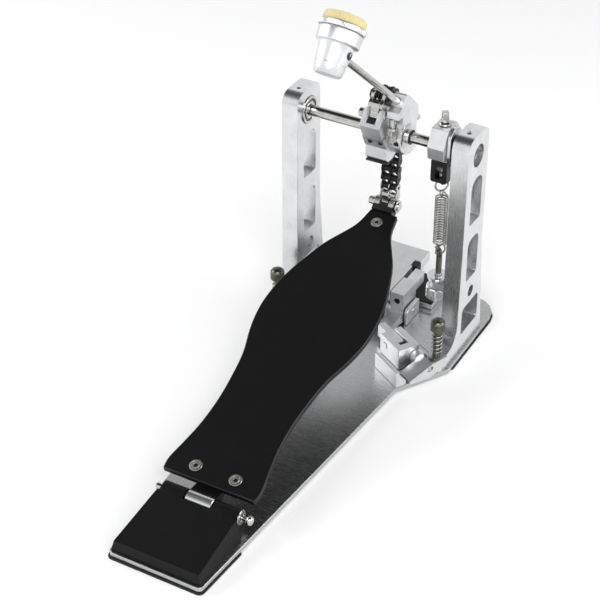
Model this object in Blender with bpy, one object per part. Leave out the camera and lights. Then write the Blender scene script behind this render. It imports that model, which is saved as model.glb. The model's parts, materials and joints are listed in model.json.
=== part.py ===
"""Bass drum pedal: a long footboard hinged at its heel pulls a double roller chain, the chain
turns a cam on a shaft between two posts, and the shaft throws a beater at the drum.

Everything is given in millimetres and turned into metres where a mesh is made.
X runs along the shaft (drummer's left to right), Y from the heel to the drum, Z up.
Y is counted from the shaft here; SHAFT_Y moves it so that the origin is under the middle."""

from math import acos, atan2, cos, degrees, hypot, pi, radians, sin

import bmesh
import bpy
from mathutils import Matrix, Vector

MM = 0.001
GAP = 0.3
FACETS = 24

# Driving dimensions
SHAFT_Z = 208.0
SHAFT_R = 5.0
SHAFT_Y = 157.25
POST_INNER = 75.0
POST_THICK = 16.0
POST_FRONT = -21.5
POST_BACK = 20.5
POST_TOP = 230.0
PLATE_LOW = 1.8
PLATE_TOP = 6.5
SOLE_TOP = 1.5
HEEL_FRONT = -388.0
HINGE_Y = -315.5
HINGE_Z = 20.0
TOE_Y = 15.5
TOE_Z = 121.7
BOARD_THICK = 5.5
CAM_Y = -9.0
CAM_Z = SHAFT_Z + 6.0
CHAIN_R = 30.0
CHAIN_HALF_W = 8.5
CHAIN_HALF_T = 3.7
ROD_R = 3.1
SPRING_X = 58.0
YOKE_Z = SHAFT_Z - 18.0
SPUR_X = 82.5
SPUR_Y = -47.5

# The clamp's parts lie square to the plate's slanted front right edge: s runs along it, t out of it.
EDGE_START = Vector((64.5, -92.0))
EDGE_END = Vector((92.0, -46.5))
ALONG = (EDGE_END - EDGE_START).normalized()
OUTWARD = Vector((ALONG.y, -ALONG.x))

FINISHES = {
    "bright_aluminium": ((0.83, 0.84, 0.85), 0.28, 1.0),
    "brushed_aluminium": ((0.62, 0.63, 0.64), 0.38, 1.0),
    "polished_steel": ((0.75, 0.76, 0.76), 0.15, 1.0),
    "black_anodised": ((0.012, 0.012, 0.013), 0.42, 0.3),
    "black_steel": ((0.03, 0.03, 0.03), 0.35, 0.8),
    "black_rubber": ((0.015, 0.015, 0.015), 0.8, 0.0),
    "cream_felt": ((0.76, 0.66, 0.44), 0.95, 0.0),
}


# ---- Meshes -------------------------------------------------------------------------------

def arc(y, z, radius, start, end, steps):
    """Points on a circle from one angle to another, in degrees."""
    turn = (end - start) / steps
    angles = [radians(start + turn * i) for i in range(steps + 1)]
    return [(y + radius * cos(a), z + radius * sin(a)) for a in angles]


def rounded(corners, steps=4):
    """An outline from (a, b, radius) corners, each turned into an arc of its radius."""
    outline = []
    for i, (a, b, radius) in enumerate(corners):
        here = Vector((a, b))
        if radius == 0:
            outline.append((a, b))
            continue
        before = (Vector(corners[i - 1][:2]) - here).normalized()
        after = (Vector(corners[(i + 1) % len(corners)][:2]) - here).normalized()
        half = acos(max(-1.0, min(1.0, before.dot(after)))) / 2
        centre = here + (before + after).normalized() * radius / sin(half)
        first = here + before * (radius * cos(half) / sin(half)) - centre
        last = here + after * (radius * cos(half) / sin(half)) - centre
        turn = first.angle_signed(last)
        for step in range(steps + 1):
            point = centre + Matrix.Rotation(-turn * step / steps, 2) @ first
            outline.append((point.x, point.y))
    return outline


def prism(outline, axis, low, high):
    """A closed solid from an outline: (y, z) along X, (x, z) along Y or (x, y) along Z."""
    place = {
        "X": lambda a, b, c: (c, a, b),
        "Y": lambda a, b, c: (a, c, b),
        "Z": lambda a, b, c: (a, b, c),
    }[axis]
    bm = bmesh.new()
    ends = [[bm.verts.new(place(a, b, c)) for a, b in outline] for c in (low, high)]
    bm.faces.new(ends[0])
    bm.faces.new(ends[1])
    for i in range(len(outline)):
        j = (i + 1) % len(outline)
        bm.faces.new((ends[0][i], ends[0][j], ends[1][j], ends[1][i]))
    bmesh.ops.recalc_face_normals(bm, faces=bm.faces)
    return bm


def box(low, high):
    (x0, y0, z0), (x1, y1, z1) = low, high
    return prism([(x0, y0), (x1, y0), (x1, y1), (x0, y1)], "Z", z0, z1)


def turned(profile, start, direction, facets=FACETS, ring=False):
    """A solid of revolution about a line. profile is (distance along the line, radius); a ring's
    profile is a closed loop that stays off the line."""
    axis = Vector(direction).normalized()
    side = axis.orthogonal().normalized()
    other = axis.cross(side)
    bm = bmesh.new()
    rows = []
    for along, radius in profile:
        base = Vector(start) + axis * along
        if radius == 0:
            rows.append([bm.verts.new(base)])
            continue
        turns = [2 * pi * i / facets for i in range(facets)]
        rows.append([bm.verts.new(base + (side * cos(a) + other * sin(a)) * radius) for a in turns])
    pairs = list(zip(rows, rows[1:]))
    if ring:
        pairs.append((rows[-1], rows[0]))
    for one, two in pairs:
        for i in range(facets):
            j = (i + 1) % facets
            corners = [one[i % len(one)], one[j % len(one)], two[j % len(two)], two[i % len(two)]]
            bm.faces.new(list(dict.fromkeys(corners)))
    if not ring:
        for row in (rows[0], rows[-1]):
            if len(row) > 1:
                bm.faces.new(row)
    bmesh.ops.recalc_face_normals(bm, faces=bm.faces)
    return bm


def rod(start, end, radius, facets=FACETS):
    length = (Vector(end) - Vector(start)).length
    return turned([(0, radius), (length, radius)], start, Vector(end) - Vector(start), facets)


def ring(start, direction, width, inner, outer, facets=FACETS):
    profile = [(0, inner), (0, outer), (width, outer), (width, inner)]
    return turned(profile, start, direction, facets, ring=True)


def swept(points, radius, sides=8, closed=False):
    """A round wire through points, with a frame that doesn't twist."""
    points = [Vector(p) for p in points]
    count = len(points)
    bm = bmesh.new()
    rows = []
    normal = None
    for i, point in enumerate(points):
        before = points[i - 1] if closed or i else points[0]
        after = points[(i + 1) % count] if closed or i < count - 1 else points[-1]
        ahead = (after - before).normalized()
        if normal is None:
            normal = ahead.orthogonal()
        normal = (normal - ahead * normal.dot(ahead)).normalized()
        other = ahead.cross(normal)
        turns = [2 * pi * k / sides for k in range(sides)]
        rows.append([bm.verts.new(point + (normal * cos(a) + other * sin(a)) * radius) for a in turns])
    pairs = list(zip(rows, rows[1:]))
    if closed:
        pairs.append((rows[-1], rows[0]))
    for one, two in pairs:
        for k in range(sides):
            m = (k + 1) % sides
            bm.faces.new((one[k], one[m], two[m], two[k]))
    if not closed:
        bm.faces.new(rows[0])
        bm.faces.new(rows[-1])
    bmesh.ops.recalc_face_normals(bm, faces=bm.faces)
    return bm


# ---- Objects ------------------------------------------------------------------------------

def material(finish):
    found = bpy.data.materials.get(finish)
    if found:
        return found
    colour, roughness, metallic = FINISHES[finish]
    made = bpy.data.materials.new(finish)
    made.use_nodes = True
    shader = made.node_tree.nodes["Principled BSDF"]
    shader.inputs["Base Color"].default_value = (*colour, 1)
    shader.inputs["Roughness"].default_value = roughness
    shader.inputs["Metallic"].default_value = metallic
    made.diffuse_color = (*colour, 1)
    return made


def body(name, pivot=(0.0, 0.0, 0.0), parent=None):
    """An empty at a moving body's joint, in the part's own frame."""
    empty = bpy.data.objects.new(name, None)
    bpy.context.scene.collection.objects.link(empty)
    place = Vector((pivot[0], pivot[1] + SHAFT_Y, pivot[2])) * MM
    empty["place"] = place
    if parent:
        empty.parent = parent
        place = place - Vector(parent["place"])
    empty.location = place
    return empty


def made(name, bm, owner, finish):
    """Turns a mesh in millimetres into an object whose origin is its body's joint."""
    to_part = Matrix.Scale(MM, 4) @ Matrix.Translation((0, SHAFT_Y, 0))
    bm.transform(Matrix.Translation(-Vector(owner["place"])) @ to_part)
    mesh = bpy.data.meshes.new(name)
    bm.to_mesh(mesh)
    bm.free()
    mesh.materials.append(material(finish))
    mesh.shade_smooth()
    mesh.set_sharp_from_angle(angle=radians(35))
    obj = bpy.data.objects.new(name, mesh)
    bpy.context.scene.collection.objects.link(obj)
    obj.parent = owner
    return obj


def combined(obj, bm, operation):
    """A Boolean with a hidden helper: UNION adds a shape, DIFFERENCE cuts it away."""
    helper = made(f"{obj.name}.{operation.lower()}", bm, obj.parent, "black_steel")
    helper.hide_render = True
    helper.display_type = "WIRE"
    step = obj.modifiers.new(operation.lower(), "BOOLEAN")
    step.operation = operation
    step.object = helper
    return obj


def cut(obj, bm):
    return combined(obj, bm, "DIFFERENCE")


def join(obj, bm):
    return combined(obj, bm, "UNION")


def clear_scene():
    for obj in list(bpy.data.objects):
        bpy.data.objects.remove(obj, do_unlink=True)


def edge(s, t):
    """A plan point from the clamp's own directions."""
    point = EDGE_START + ALONG * s + OUTWARD * t
    return point.x, point.y


def from_edge(s, t, z):
    return (*edge(s, t), z)


# ---- Base ---------------------------------------------------------------------------------

def plate_outline(grow=0.0):
    half = [(43.5, HEEL_FRONT, 4), (64.5, -92, 3), (93.5, -44, 4), (93.5, 72, 24)]
    right = [(x + grow, y, r) for x, y, r in half]
    left = [(-x, y, r) for x, y, r in reversed(right)]
    return rounded(right + left)


def make_base(root):
    plate = made("base_plate", prism(plate_outline(), "Z", PLATE_LOW, PLATE_TOP), root, "brushed_aluminium")
    for side in (-1, 1):
        hole = rod((side * SPUR_X, SPUR_Y, 0), (side * SPUR_X, SPUR_Y, 10), 3.6, 16)
        cut(plate, hole)
    heel = rounded([(-44.7, -389.5, 5), (44.7, -389.5, 5), (48.5, -333, 2), (-48.5, -333, 2)])
    made("heel_sole", prism(heel, "Z", 0, SOLE_TOP), root, "black_rubber")
    front = rounded([(-94.5, -36, 2), (94.5, -36, 2), (94.5, 73, 24), (-94.5, 73, 24)])
    made("front_sole", prism(front, "Z", 0, SOLE_TOP), root, "black_rubber")


def make_heel(root):
    """A wedge with two hinge knuckles; its sides lean in towards the top."""
    low = PLATE_TOP + GAP
    side = [(-385.5, low), (-384, 16.3), (-323.5, 24.6), (-323.5, low)]
    block = made("heel_block", prism(side, "X", -43, 43), root, "black_anodised")
    for sign in (-1, 1):
        lean = [(sign * 50, 0), (sign * 43.6, 0), (sign * 37.5, 26), (sign * 37.5, 40), (sign * 50, 40)]
        cut(block, prism(lean, "Y", -400, -300))
    knuckle = [(-324.5, low), (-324.5, 24.5)] + arc(HINGE_Y, HINGE_Z, 6.8, 115, -25, 8) + [(-309.5, low)]
    for x0, x1 in ((-36, -14), (13, 36)):
        join(block, prism(knuckle, "X", x0, x1))
    cut(block, rod((-60, HINGE_Y, HINGE_Z), (60, HINGE_Y, HINGE_Z), 3.3, 16))
    pin = turned(
        [(0, 0), (0, 2.6), (2, 3), (81, 3), (83, 2), (85.5, 2), (86.5, 3.4), (88, 4.2), (90, 4.2),
         (91.5, 3), (92, 0)],
        (-43.5, HINGE_Y, HINGE_Z), (1, 0, 0), 16)
    made("hinge_pin", pin, root, "polished_steel")


def post_outline():
    low = PLATE_TOP + GAP
    front = [
        (-47.5, low, 0), (-47.5, 22, 0), (-23.6, 22, 18), (POST_FRONT, 120, 0), (POST_FRONT, POST_TOP, 11)
    ]
    back = [(POST_BACK, POST_TOP, 11), (POST_BACK, 112, 0), (31, low, 0)]
    return rounded(front + back, 5)


WINDOWS = (
    ((-10.5, 140.5, 2.5), (12, 140.5, 2.5), (12, 186, 9), (-10.5, 186, 9)),
    ((-10.5, 81, 2.5), (12, 81, 2.5), (12, 124.5, 7), (-10.5, 124.5, 7)),
    ((-14.5, 25, 2.5), (20.5, 25, 2.5), (20.5, 53, 5), (-14.5, 53, 5)),
)


def make_post(root, side, name):
    inner, outer = side * POST_INNER, side * (POST_INNER + POST_THICK)
    post = made(name, prism(post_outline(), "X", inner, outer), root, "bright_aluminium")
    foot_low = PLATE_TOP + GAP
    join(post, rod((side * SPUR_X, SPUR_Y, foot_low), (side * SPUR_X, SPUR_Y, 22), 7.2))
    for window in WINDOWS:
        cut(post, prism(rounded(window, 3), "X", inner - side, outer + side))
    cut(post, rod((inner - side, 2, 65), (outer + side, 2, 65), 5.6, 16))
    cut(post, rod((inner - side, 0, SHAFT_Z), (inner + side * 9.3, 0, SHAFT_Z), 13.3, 32))
    cut(post, rod((inner, 0, SHAFT_Z), (outer + side, 0, SHAFT_Z), 10.6))
    cut(post, rod((side * SPUR_X, SPUR_Y, 0), (side * SPUR_X, SPUR_Y, 30), 3.4, 16))
    cut(post, rod((side * 83, -5, POST_TOP - 5), (side * 83, -5, POST_TOP + 5), 2, 12))
    return post


def make_bearing(root, shaft, side, name):
    start = (side * (POST_INNER - 1.2), 0, SHAFT_Z)
    made(f"{name}_bearing_race", ring(start, (side, 0, 0), 10, 10.4, 13), root, "polished_steel")
    made(
        f"{name}_bearing_sleeve", ring(start, (side, 0, 0), 10, SHAFT_R + GAP, 8.1), shaft, "polished_steel"
    )


def make_hoop_bed(root):
    made("hoop_bed", box((-41, 31, PLATE_TOP + GAP), (41, 74, 12)), root, "bright_aluminium")
    made("hoop_bed_pad", box((-40.5, 31.5, 12 + GAP), (40.5, 74.5, 13.8)), root, "black_rubber")


def make_adjuster(root, nut):
    """The arm from the right post that holds the spring's eyebolt."""
    arm = rounded([(50, 3 - 9, 8.5), (74.7, 3 - 9, 0), (74.7, 3 + 9, 0), (50, 3 + 9, 8.5)], 6)
    bracket = made("adjuster_arm", prism(arm, "Z", 60, 67), root, "bright_aluminium")
    join(bracket, prism(rounded([(-9, 55, 4), (15, 55, 4), (15, 75, 4), (-9, 75, 4)]), "X", 69, 74.7))
    cut(bracket, rod((SPRING_X, 3, 50), (SPRING_X, 3, 80), 3.2, 16))
    cut(bracket, rod((64.5, 2, 65), (80, 2, 65), 2.7, 12))
    bolt = turned([(0, 0), (0, 2.4), (14, 2.4), (14, 4.8), (19, 4.8), (19, 0)], (69, 2, 65), (1, 0, 0), 16)
    made("arm_bolt", bolt, root, "polished_steel")
    shank = turned([(0, 0), (0, 2.2), (1, 2.8), (48, 2.8), (50, 2)], (SPRING_X, 3, 42), (0, 0, 1), 16)
    bolt = made("spring_eyebolt", shank, root, "black_steel")
    centre = (SPRING_X, 3, 95)
    turns = [2 * pi * i / 16 for i in range(16)]
    join(bolt, swept([(centre[0] + 3.6 * cos(a), 3, 95 + 3.6 * sin(a)) for a in turns], 1.5, 8, closed=True))
    made("spring_lock_disc", ring((SPRING_X, 3, 67.3), (0, 0, 1), 3.6, 3.2, 10), root, "bright_aluminium")
    made("spring_adjust_nut", ring((SPRING_X, 3, 47), (0, 0, 1), 12.6, 3.2, 10.5), nut, "bright_aluminium")


def make_spur(owner, side, name):
    """A knurled screw that can be wound down against the floor, with a spring that stops it turning."""
    profile = [(0, 0), (5, 3), (46.5, 3), (46.5, 5.2), (49, 6.3), (56, 6.3), (58.5, 4.5), (59, 0)]
    made(f"{name}_spur", turned(profile, (side * SPUR_X, SPUR_Y, 2.4), (0, 0, 1), 16), owner, "black_steel")


def make_spur_spring(root, side, name):
    coil = ring((side * SPUR_X, SPUR_Y, 22.4), (0, 0, 1), 25.6, 3.4, 4.8, 12)
    made(f"{name}_spur_spring", coil, root, "polished_steel")


# ---- Footboard ----------------------------------------------------------------------------

BOARD_START = Vector((-305.3, 31.5))
BOARD_END = Vector((5.3, 118.6))
BOARD_ALONG = (BOARD_END - BOARD_START).normalized()
BOARD_UP = Vector((-BOARD_ALONG.y, BOARD_ALONG.x))
# Half widths along the board: (distance from the heel end, half width)
BOARD_SHAPE = (
    (0, 43.5), (10, 44.5), (30, 40.8), (50, 37.6), (75, 36.2), (100, 37.4), (130, 41.2),
    (155, 48.4), (172, 52), (190, 53.4), (210, 52), (230, 48.2), (250, 42), (270, 34.6),
    (288, 24.5), (297, 19.5), (306, 16.3), (322.6, 13.4),
)


def on_board(along, up):
    """(y, z) of a point on the footboard, from its heel end and its top face."""
    point = BOARD_START + BOARD_ALONG * along + BOARD_UP * up
    return point.x, point.y


def board_slab(outline, low, high):
    """A prism square to the footboard's face, from an outline of (x, distance along the board)."""
    bm = prism(outline, "Z", low, high)
    for vert in bm.verts:
        x, along, up = vert.co
        y, z = on_board(along, up)
        vert.co = (x, y, z)
    bmesh.ops.recalc_face_normals(bm, faces=bm.faces)
    return bm


def board_screw(name, owner, x, along, radius):
    y, z = on_board(along, 0.4)
    direction = (0, -BOARD_UP.x, -BOARD_UP.y)
    profile = [(0, 0), (0, radius), (0.8, radius), (3.2, 2.4), (7.5, 2.4), (7.5, 0)]
    made(name, turned(profile, (x, y, z), direction, 16), owner, "polished_steel")


def screw_hole(owner, x, along, radius):
    y, z = on_board(along, 2)
    direction = (0, -BOARD_UP.x, -BOARD_UP.y)
    grown = radius + GAP
    profile = [(0, 0), (0, grown), (2.9, grown), (5.4, 2.7), (12, 2.7), (12, 0)]
    return cut(owner, turned(profile, (x, y, z), direction, 16))


def screw_way(owner, x, along):
    """The hole for a footboard screw in the bracket under the board."""
    return cut(owner, rod((x, *on_board(along, 0)), (x, *on_board(along, -20)), 2.7, 16))


def make_footboard(owner):
    right = [(half, along) for along, half in BOARD_SHAPE]
    left = [(-half, along) for along, half in reversed(BOARD_SHAPE)]
    board = made("footboard", board_slab(right + left, -BOARD_THICK, 0), owner, "black_anodised")
    for x, along, radius in ((-19, 12.4, 5.6), (19, 12.4, 5.6), (-1, 309.5, 5.2)):
        screw_hole(board, x, along, radius)
    board_screw("heel_screw_left", owner, -19, 12.4, 5.6)
    board_screw("heel_screw_right", owner, 19, 12.4, 5.6)
    board_screw("toe_screw", owner, -1, 309.5, 5.2)
    under = -BOARD_THICK - GAP
    plate = rounded([(-27, 2, 3), (27, 2, 3), (27, 24, 3), (-27, 24, 3)])
    bracket = made("footboard_bracket", board_slab(plate, under - 3.5, under), owner, "black_anodised")
    y, z = on_board(2, under)
    arm = [
        (HINGE_Y + 6.9 * cos(a), HINGE_Z + 6.9 * sin(a)) for a in [radians(70 + 25 * i) for i in range(9)]
    ]
    tail = [(-309, 14.8), on_board(20, under - 3), on_board(1.5, under - 0.6)]
    join(bracket, prism(arm + tail, "X", -12.8, 11.8))
    cut(bracket, rod((-20, HINGE_Y, HINGE_Z), (20, HINGE_Y, HINGE_Z), 3.3))
    for x in (-19, 19):
        screw_way(bracket, x, 12.4)


def make_toe(owner):
    """The bracket screwed under the toe, whose two ears hold the chain's cross bolt."""
    foot = [on_board(298, under) for under in (-BOARD_THICK - GAP, -10.5)] + [on_board(322, -10.5)]
    ears = arc(TOE_Y, TOE_Z, 6, -45, 160, 8) + [on_board(323.2, up) for up in (1.5, -BOARD_THICK - GAP)]
    bracket = made("toe_bracket", prism(foot + ears, "X", -13, 7.5), owner, "black_steel")
    cut(bracket, prism([(10.6, 110), (30, 110), (30, 140), (10.6, 140)], "X", -7, 1))
    cut(bracket, rod((-20, TOE_Y, TOE_Z), (20, TOE_Y, TOE_Z), 2.8, 16))
    screw_way(bracket, -1, 309.5)
    bolt = turned(
        [(0, 0), (0, 3.6), (6.4, 4.2), (6.4, 2.5), (28, 2.5), (28, 4.2), (31, 4.2), (31, 0)],
        (-20, TOE_Y, TOE_Z), (1, 0, 0), 16)
    made("toe_bolt", bolt, owner, "polished_steel")


# ---- Chain --------------------------------------------------------------------------------

def chain_end_angle():
    """Where the straight run to the toe leaves the cam, in degrees round the cam's centre."""
    away = hypot(TOE_Y - CAM_Y, TOE_Z - CAM_Z)
    return degrees(atan2(TOE_Z - CAM_Z, TOE_Y - CAM_Y) + acos(CHAIN_R / away))


LINK_TURN = 17.0
LINK_COUNT = 3
RUN_ANGLE = chain_end_angle()
CLEVIS_PIN = (-17.5, 231.0)
WRAP_JOINTS = ((6.5, 243.5), (-0.7, 248.7), (-9.2, 247.0), (-15.0, 240.4))


def on_chain(angle, radius=CHAIN_R):
    return CAM_Y + radius * cos(radians(angle)), CAM_Z + radius * sin(radians(angle))


def link_solid(start, end, half_width, half_thick, start_trim=0.0, end_trim=0.0):
    """A flat bar between two chain joints, with rounded ends."""
    start, end = Vector(start), Vector(end)
    ahead = (end - start).normalized()
    heading = degrees(atan2(ahead.y, ahead.x))
    start = start + ahead * (half_thick + start_trim)
    end = end - ahead * (half_thick + end_trim)
    outline = arc(end.x, end.y, half_thick, heading - 90, heading + 90, 6)
    outline += arc(start.x, start.y, half_thick, heading + 90, heading + 270, 6)
    return prism(outline, "X", -half_width, half_width)


def make_chain(shaft, links, run):
    first = RUN_ANGLE + LINK_TURN * LINK_COUNT
    half = CHAIN_HALF_T - 0.2
    wrap = link_solid(on_chain(first), WRAP_JOINTS[0], CHAIN_HALF_W, half, GAP, -half)
    wrap = made("cam_chain", wrap, shaft, "black_steel")
    join(wrap, link_solid(WRAP_JOINTS[0], WRAP_JOINTS[1], CHAIN_HALF_W, half, -half, -half))
    join(wrap, link_solid(WRAP_JOINTS[1], WRAP_JOINTS[2], CHAIN_HALF_W, half, -half, -half))
    join(wrap, link_solid(WRAP_JOINTS[2], WRAP_JOINTS[3], 6.6, half, -half, -half))
    join(wrap, link_solid(WRAP_JOINTS[3], CLEVIS_PIN, 3.6, half, -half, -half))
    cut(wrap, rod((-20, *CLEVIS_PIN), (20, *CLEVIS_PIN), 2.8, 16))
    for number, owner in enumerate(links):
        start = first - LINK_TURN * number
        bar = link_solid(
            on_chain(start), on_chain(start - LINK_TURN), CHAIN_HALF_W, CHAIN_HALF_T - 0.2, GAP, GAP
        )
        made(f"chain_link_{number + 1}", bar, owner, "black_steel")
    top = Vector(on_chain(RUN_ANGLE))
    toe = Vector((TOE_Y, TOE_Z))
    down = (toe - top).normalized()
    end = toe - down * 10
    strap = link_solid(top, end, CHAIN_HALF_W, CHAIN_HALF_T, GAP)
    strap = made("chain_run", strap, run, "black_steel")
    hook = link_solid(end - down * 8, toe + down * 4, 1, 4.0)
    for vert in hook.verts:
        vert.co.x = -3 + 3.5 * vert.co.x
    join(strap, hook)
    cut(strap, rod((-20, TOE_Y, TOE_Z), (20, TOE_Y, TOE_Z), 2.8, 16))


# ---- Shaft, cam, hub and beater -----------------------------------------------------------

ROD_X = 15.0
ROD_POINT = Vector((ROD_X, -6.8, 244.1))
ROD_UP = Vector((0, -0.758, 0.652)).normalized()
HEAD_AXIS = Vector((0, 0.652, 0.758)).normalized()
HEAD_CENTRE = ROD_POINT + ROD_UP * 152.5


def make_shaft(shaft):
    made("shaft", rod((-84, 0, SHAFT_Z), (80, 0, SHAFT_Z), SHAFT_R), shaft, "polished_steel")


def make_cam(shaft):
    round_part = arc(CAM_Y, CAM_Z, CHAIN_R - CHAIN_HALF_T - GAP, -8, 88, 12)
    front = [
        (-10.6, 238.5), (-12.6, 233), (-12.6, 210.7), (-22, 210.7), (-16.3, 200), (-14.6, 198), (-14.6, 187)
    ]
    under = [(-12, 184), (-2, 183.5), (9, 189), (15, 197)]
    cam = made("cam_wheel", prism(round_part + front + under, "X", -10.5, 10.5), shaft, "bright_aluminium")
    cut(cam, rod((-30, 0, SHAFT_Z), (30, 0, SHAFT_Z), SHAFT_R + GAP))
    for x in (-4, 6):
        cut(cam, rod((x, -30, 205), (x, -12, 205), 2.1, 12))
    stirrup = [(-30, 225.5), (-22.6, 211), (-13, 211), (-13, 235.2), (-16, 236.4), (-18.2, 237.6)]
    clevis = made("chain_clevis", prism(stirrup, "X", -9.5, 9.5), shaft, "bright_aluminium")
    slot = [(-27.6, 260), (-27.6, 224), (-21.5, 214), (-5, 214), (-5, 260)]
    cut(clevis, prism(slot, "X", -4.3, 4.3))
    cut(clevis, rod((-20, *CLEVIS_PIN), (20, *CLEVIS_PIN), 2.8, 16))
    bolt = turned(
        [(0, 0), (0, 4.2), (4.6, 4.2), (4.6, 2.5), (25, 2.5), (25, 0)], (-15.2, *CLEVIS_PIN), (1, 0, 0), 16
    )
    made("clevis_bolt", bolt, shaft, "polished_steel")


def make_hub(shaft):
    block = [(-17.8, 231, 1), (-17, 237.5, 2), (-10.3, 240.6, 1.5), (-2, 250.2, 2), (3.5, 246.5, 3)]
    back = [(22.3, 228, 3), (22.5, 221, 4), (19.5, 211, 6), (21.5, 199, 4), (21, 187, 3), (9, 185.5, 3)]
    neck = [
        (-1.5, 189.3, 3), (-11.5, 199, 5), (-12, 208, 6), (-11, 218.5, 4), (-8.5, 223.5, 2), (-8.5, 231, 1)
    ]
    side = block + back + neck
    hub = made("rod_hub", prism(rounded(side, 3), "X", 10.9, 22), shaft, "bright_aluminium")
    cut(hub, rod((0, 0, SHAFT_Z), (40, 0, SHAFT_Z), SHAFT_R + GAP))
    cut(hub, rod(ROD_POINT - ROD_UP * 70, ROD_POINT + ROD_UP * 30, ROD_R + GAP, 20))
    bolt = turned([(0, 0), (0, 2.4), (7.2, 2.4), (7.2, 4.4), (11, 4.4), (11, 3), (22, 3), (22, 0)],
                  (15.6, -15.6, 230.7), (0, 0, -1), 12)
    made("rod_clamp_bolt", bolt, shaft, "polished_steel")


def make_beater(owner):
    made(
        "beater_rod", rod(ROD_POINT - ROD_UP * 57, HEAD_CENTRE + ROD_UP * 4, ROD_R, 20), owner,
        "polished_steel"
    )
    tail = HEAD_CENTRE - HEAD_AXIS * 19
    shape = [(0, 0), (0, 11), (1.5, 12), (25, 14.6), (25, 17.6), (36, 18.2), (36, 0)]
    head = made("beater_body", turned(shape, tail, HEAD_AXIS, 32), owner, "bright_aluminium")
    cut(head, rod(HEAD_CENTRE - ROD_UP * 30, HEAD_CENTRE + ROD_UP * 4.5, ROD_R + GAP, 20))
    boss = Vector((1, 0, 0))
    cut(head, rod(HEAD_CENTRE + boss * 4, HEAD_CENTRE + boss * 30, 2.8, 16))
    made(
        "beater_ring", ring(tail + HEAD_AXIS * 36.3, HEAD_AXIS, 4.6, 8, 19.2, 32), owner, "bright_aluminium"
    )
    face = turned([(0, 0), (0, 17), (6, 17.8), (7.6, 16.8), (8, 0)], tail + HEAD_AXIS * 41.2, HEAD_AXIS, 32)
    made("beater_face", face, owner, "cream_felt")
    screw = turned([(0, 0), (0, 2.5), (12, 2.5), (12, 0)], HEAD_CENTRE + boss * 4.2, boss, 16)
    made("beater_screw", screw, owner, "black_steel")


def make_spring_collar(shaft):
    top = [(-10, SHAFT_Z + 21.5), (-18, SHAFT_Z + 6), (-16, SHAFT_Z - 6), (-9.5, SHAFT_Z - 10)]
    outline = top + [(-y, z) for y, z in reversed(top)]
    collar = made("spring_collar", prism(outline, "X", 50, 66), shaft, "bright_aluminium")
    tongue = [(5.4, SHAFT_Z - 9)] + arc(0, YOKE_Z, 5.4, 0, -180, 8) + [(-5.4, SHAFT_Z - 9)]
    join(collar, prism(tongue, "X", 55.2, 60.8))
    cut(collar, rod((40, 0, SHAFT_Z), (80, 0, SHAFT_Z), SHAFT_R + GAP))
    cut(collar, rod((40, 0, YOKE_Z), (80, 0, YOKE_Z), 2.8, 16))
    cut(collar, rod((SPRING_X, 0, SHAFT_Z + 8), (SPRING_X, 0, SHAFT_Z + 30), 2.8, 16))
    bolt = turned([(0, 0), (0, 2.4), (13.4, 2.4), (13.4, 5.6), (16, 5.6), (17, 2.9), (25.5, 2.9), (25.5, 0)],
                  (SPRING_X, 0, SHAFT_Z + 8.5), (0, 0, 1), 16)
    made("collar_bolt", bolt, shaft, "polished_steel")
    lobe = rounded(
        [(-12, 224, 5), (-4, 231, 5), (9, 226, 6), (14, 210, 8), (9, 197, 7), (-6, 194, 6), (-13, 204, 6)], 3
    )
    disc = made("collar_disc", prism(lobe, "X", 66.4, 69.6), shaft, "bright_aluminium")
    cut(disc, rod((40, 0, SHAFT_Z), (80, 0, SHAFT_Z), SHAFT_R + GAP))


def make_yoke(yoke):
    """Two cheeks on the collar's tongue, joined by the bar that the spring hooks on."""
    cheek = arc(0, YOKE_Z, 6.6, 10, 170, 8) + arc(0, YOKE_Z - 18, 4.6, 200, 340, 6)
    stirrup = made("spring_yoke", prism(cheek, "X", 50.2, 54.8), yoke, "black_steel")
    join(stirrup, prism(cheek, "X", 61.2, 65.8))
    join(stirrup, rod((52, 0, YOKE_Z - 18.1), (64, 0, YOKE_Z - 18.1), 2, 12))
    join(stirrup, rod((50.1, 0, YOKE_Z), (65.9, 0, YOKE_Z), 2.5, 16))


def make_spring(spring, hook):
    """A tension spring: the coil with its lower loop, and the upper loop that moves as it stretches."""
    radius, wire, low, high, turns = 4.9, 0.8, 105.5, 155, 18
    points = []
    for i in range(turns * 8 + 1):
        angle = 2 * pi * i / 8
        points.append(
            (SPRING_X + radius * cos(angle), 1.5 + radius * sin(angle), low + (high - low) * i / (turns * 8))
        )
    loop = [
        (SPRING_X, 3 + 4.6 * sin(a), 98.5 - 4.6 * cos(a)) for a in [radians(d) for d in range(-150, 151, 30)]
    ]
    made("spring", swept(loop + [(SPRING_X + 3, 3, 103.6)] + points, wire, 6), spring, "polished_steel")
    turns = [2 * pi * i / 16 for i in range(16)]
    eye = [(SPRING_X, 6.4 * sin(a), YOKE_Z - 21.2 + 6.4 * cos(a)) for a in turns]
    made("spring_hook", swept(eye, wire, 8, closed=True), hook, "polished_steel")


# ---- Hoop clamp ---------------------------------------------------------------------------

ROCK_Y = 10.0
ROCK_Z = 16.0
LEVER_S = 34.6
LEVER_Z = 16.8


def edge_slab(outline, low, high):
    """A prism square to the slanted edge, from an outline of (s, z), between two t values."""
    bm = prism(outline, "Y", low, high)
    for vert in bm.verts:
        s, t, z = vert.co
        vert.co = from_edge(s, t, z)
    bmesh.ops.recalc_face_normals(bm, faces=bm.faces)
    return bm


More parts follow.
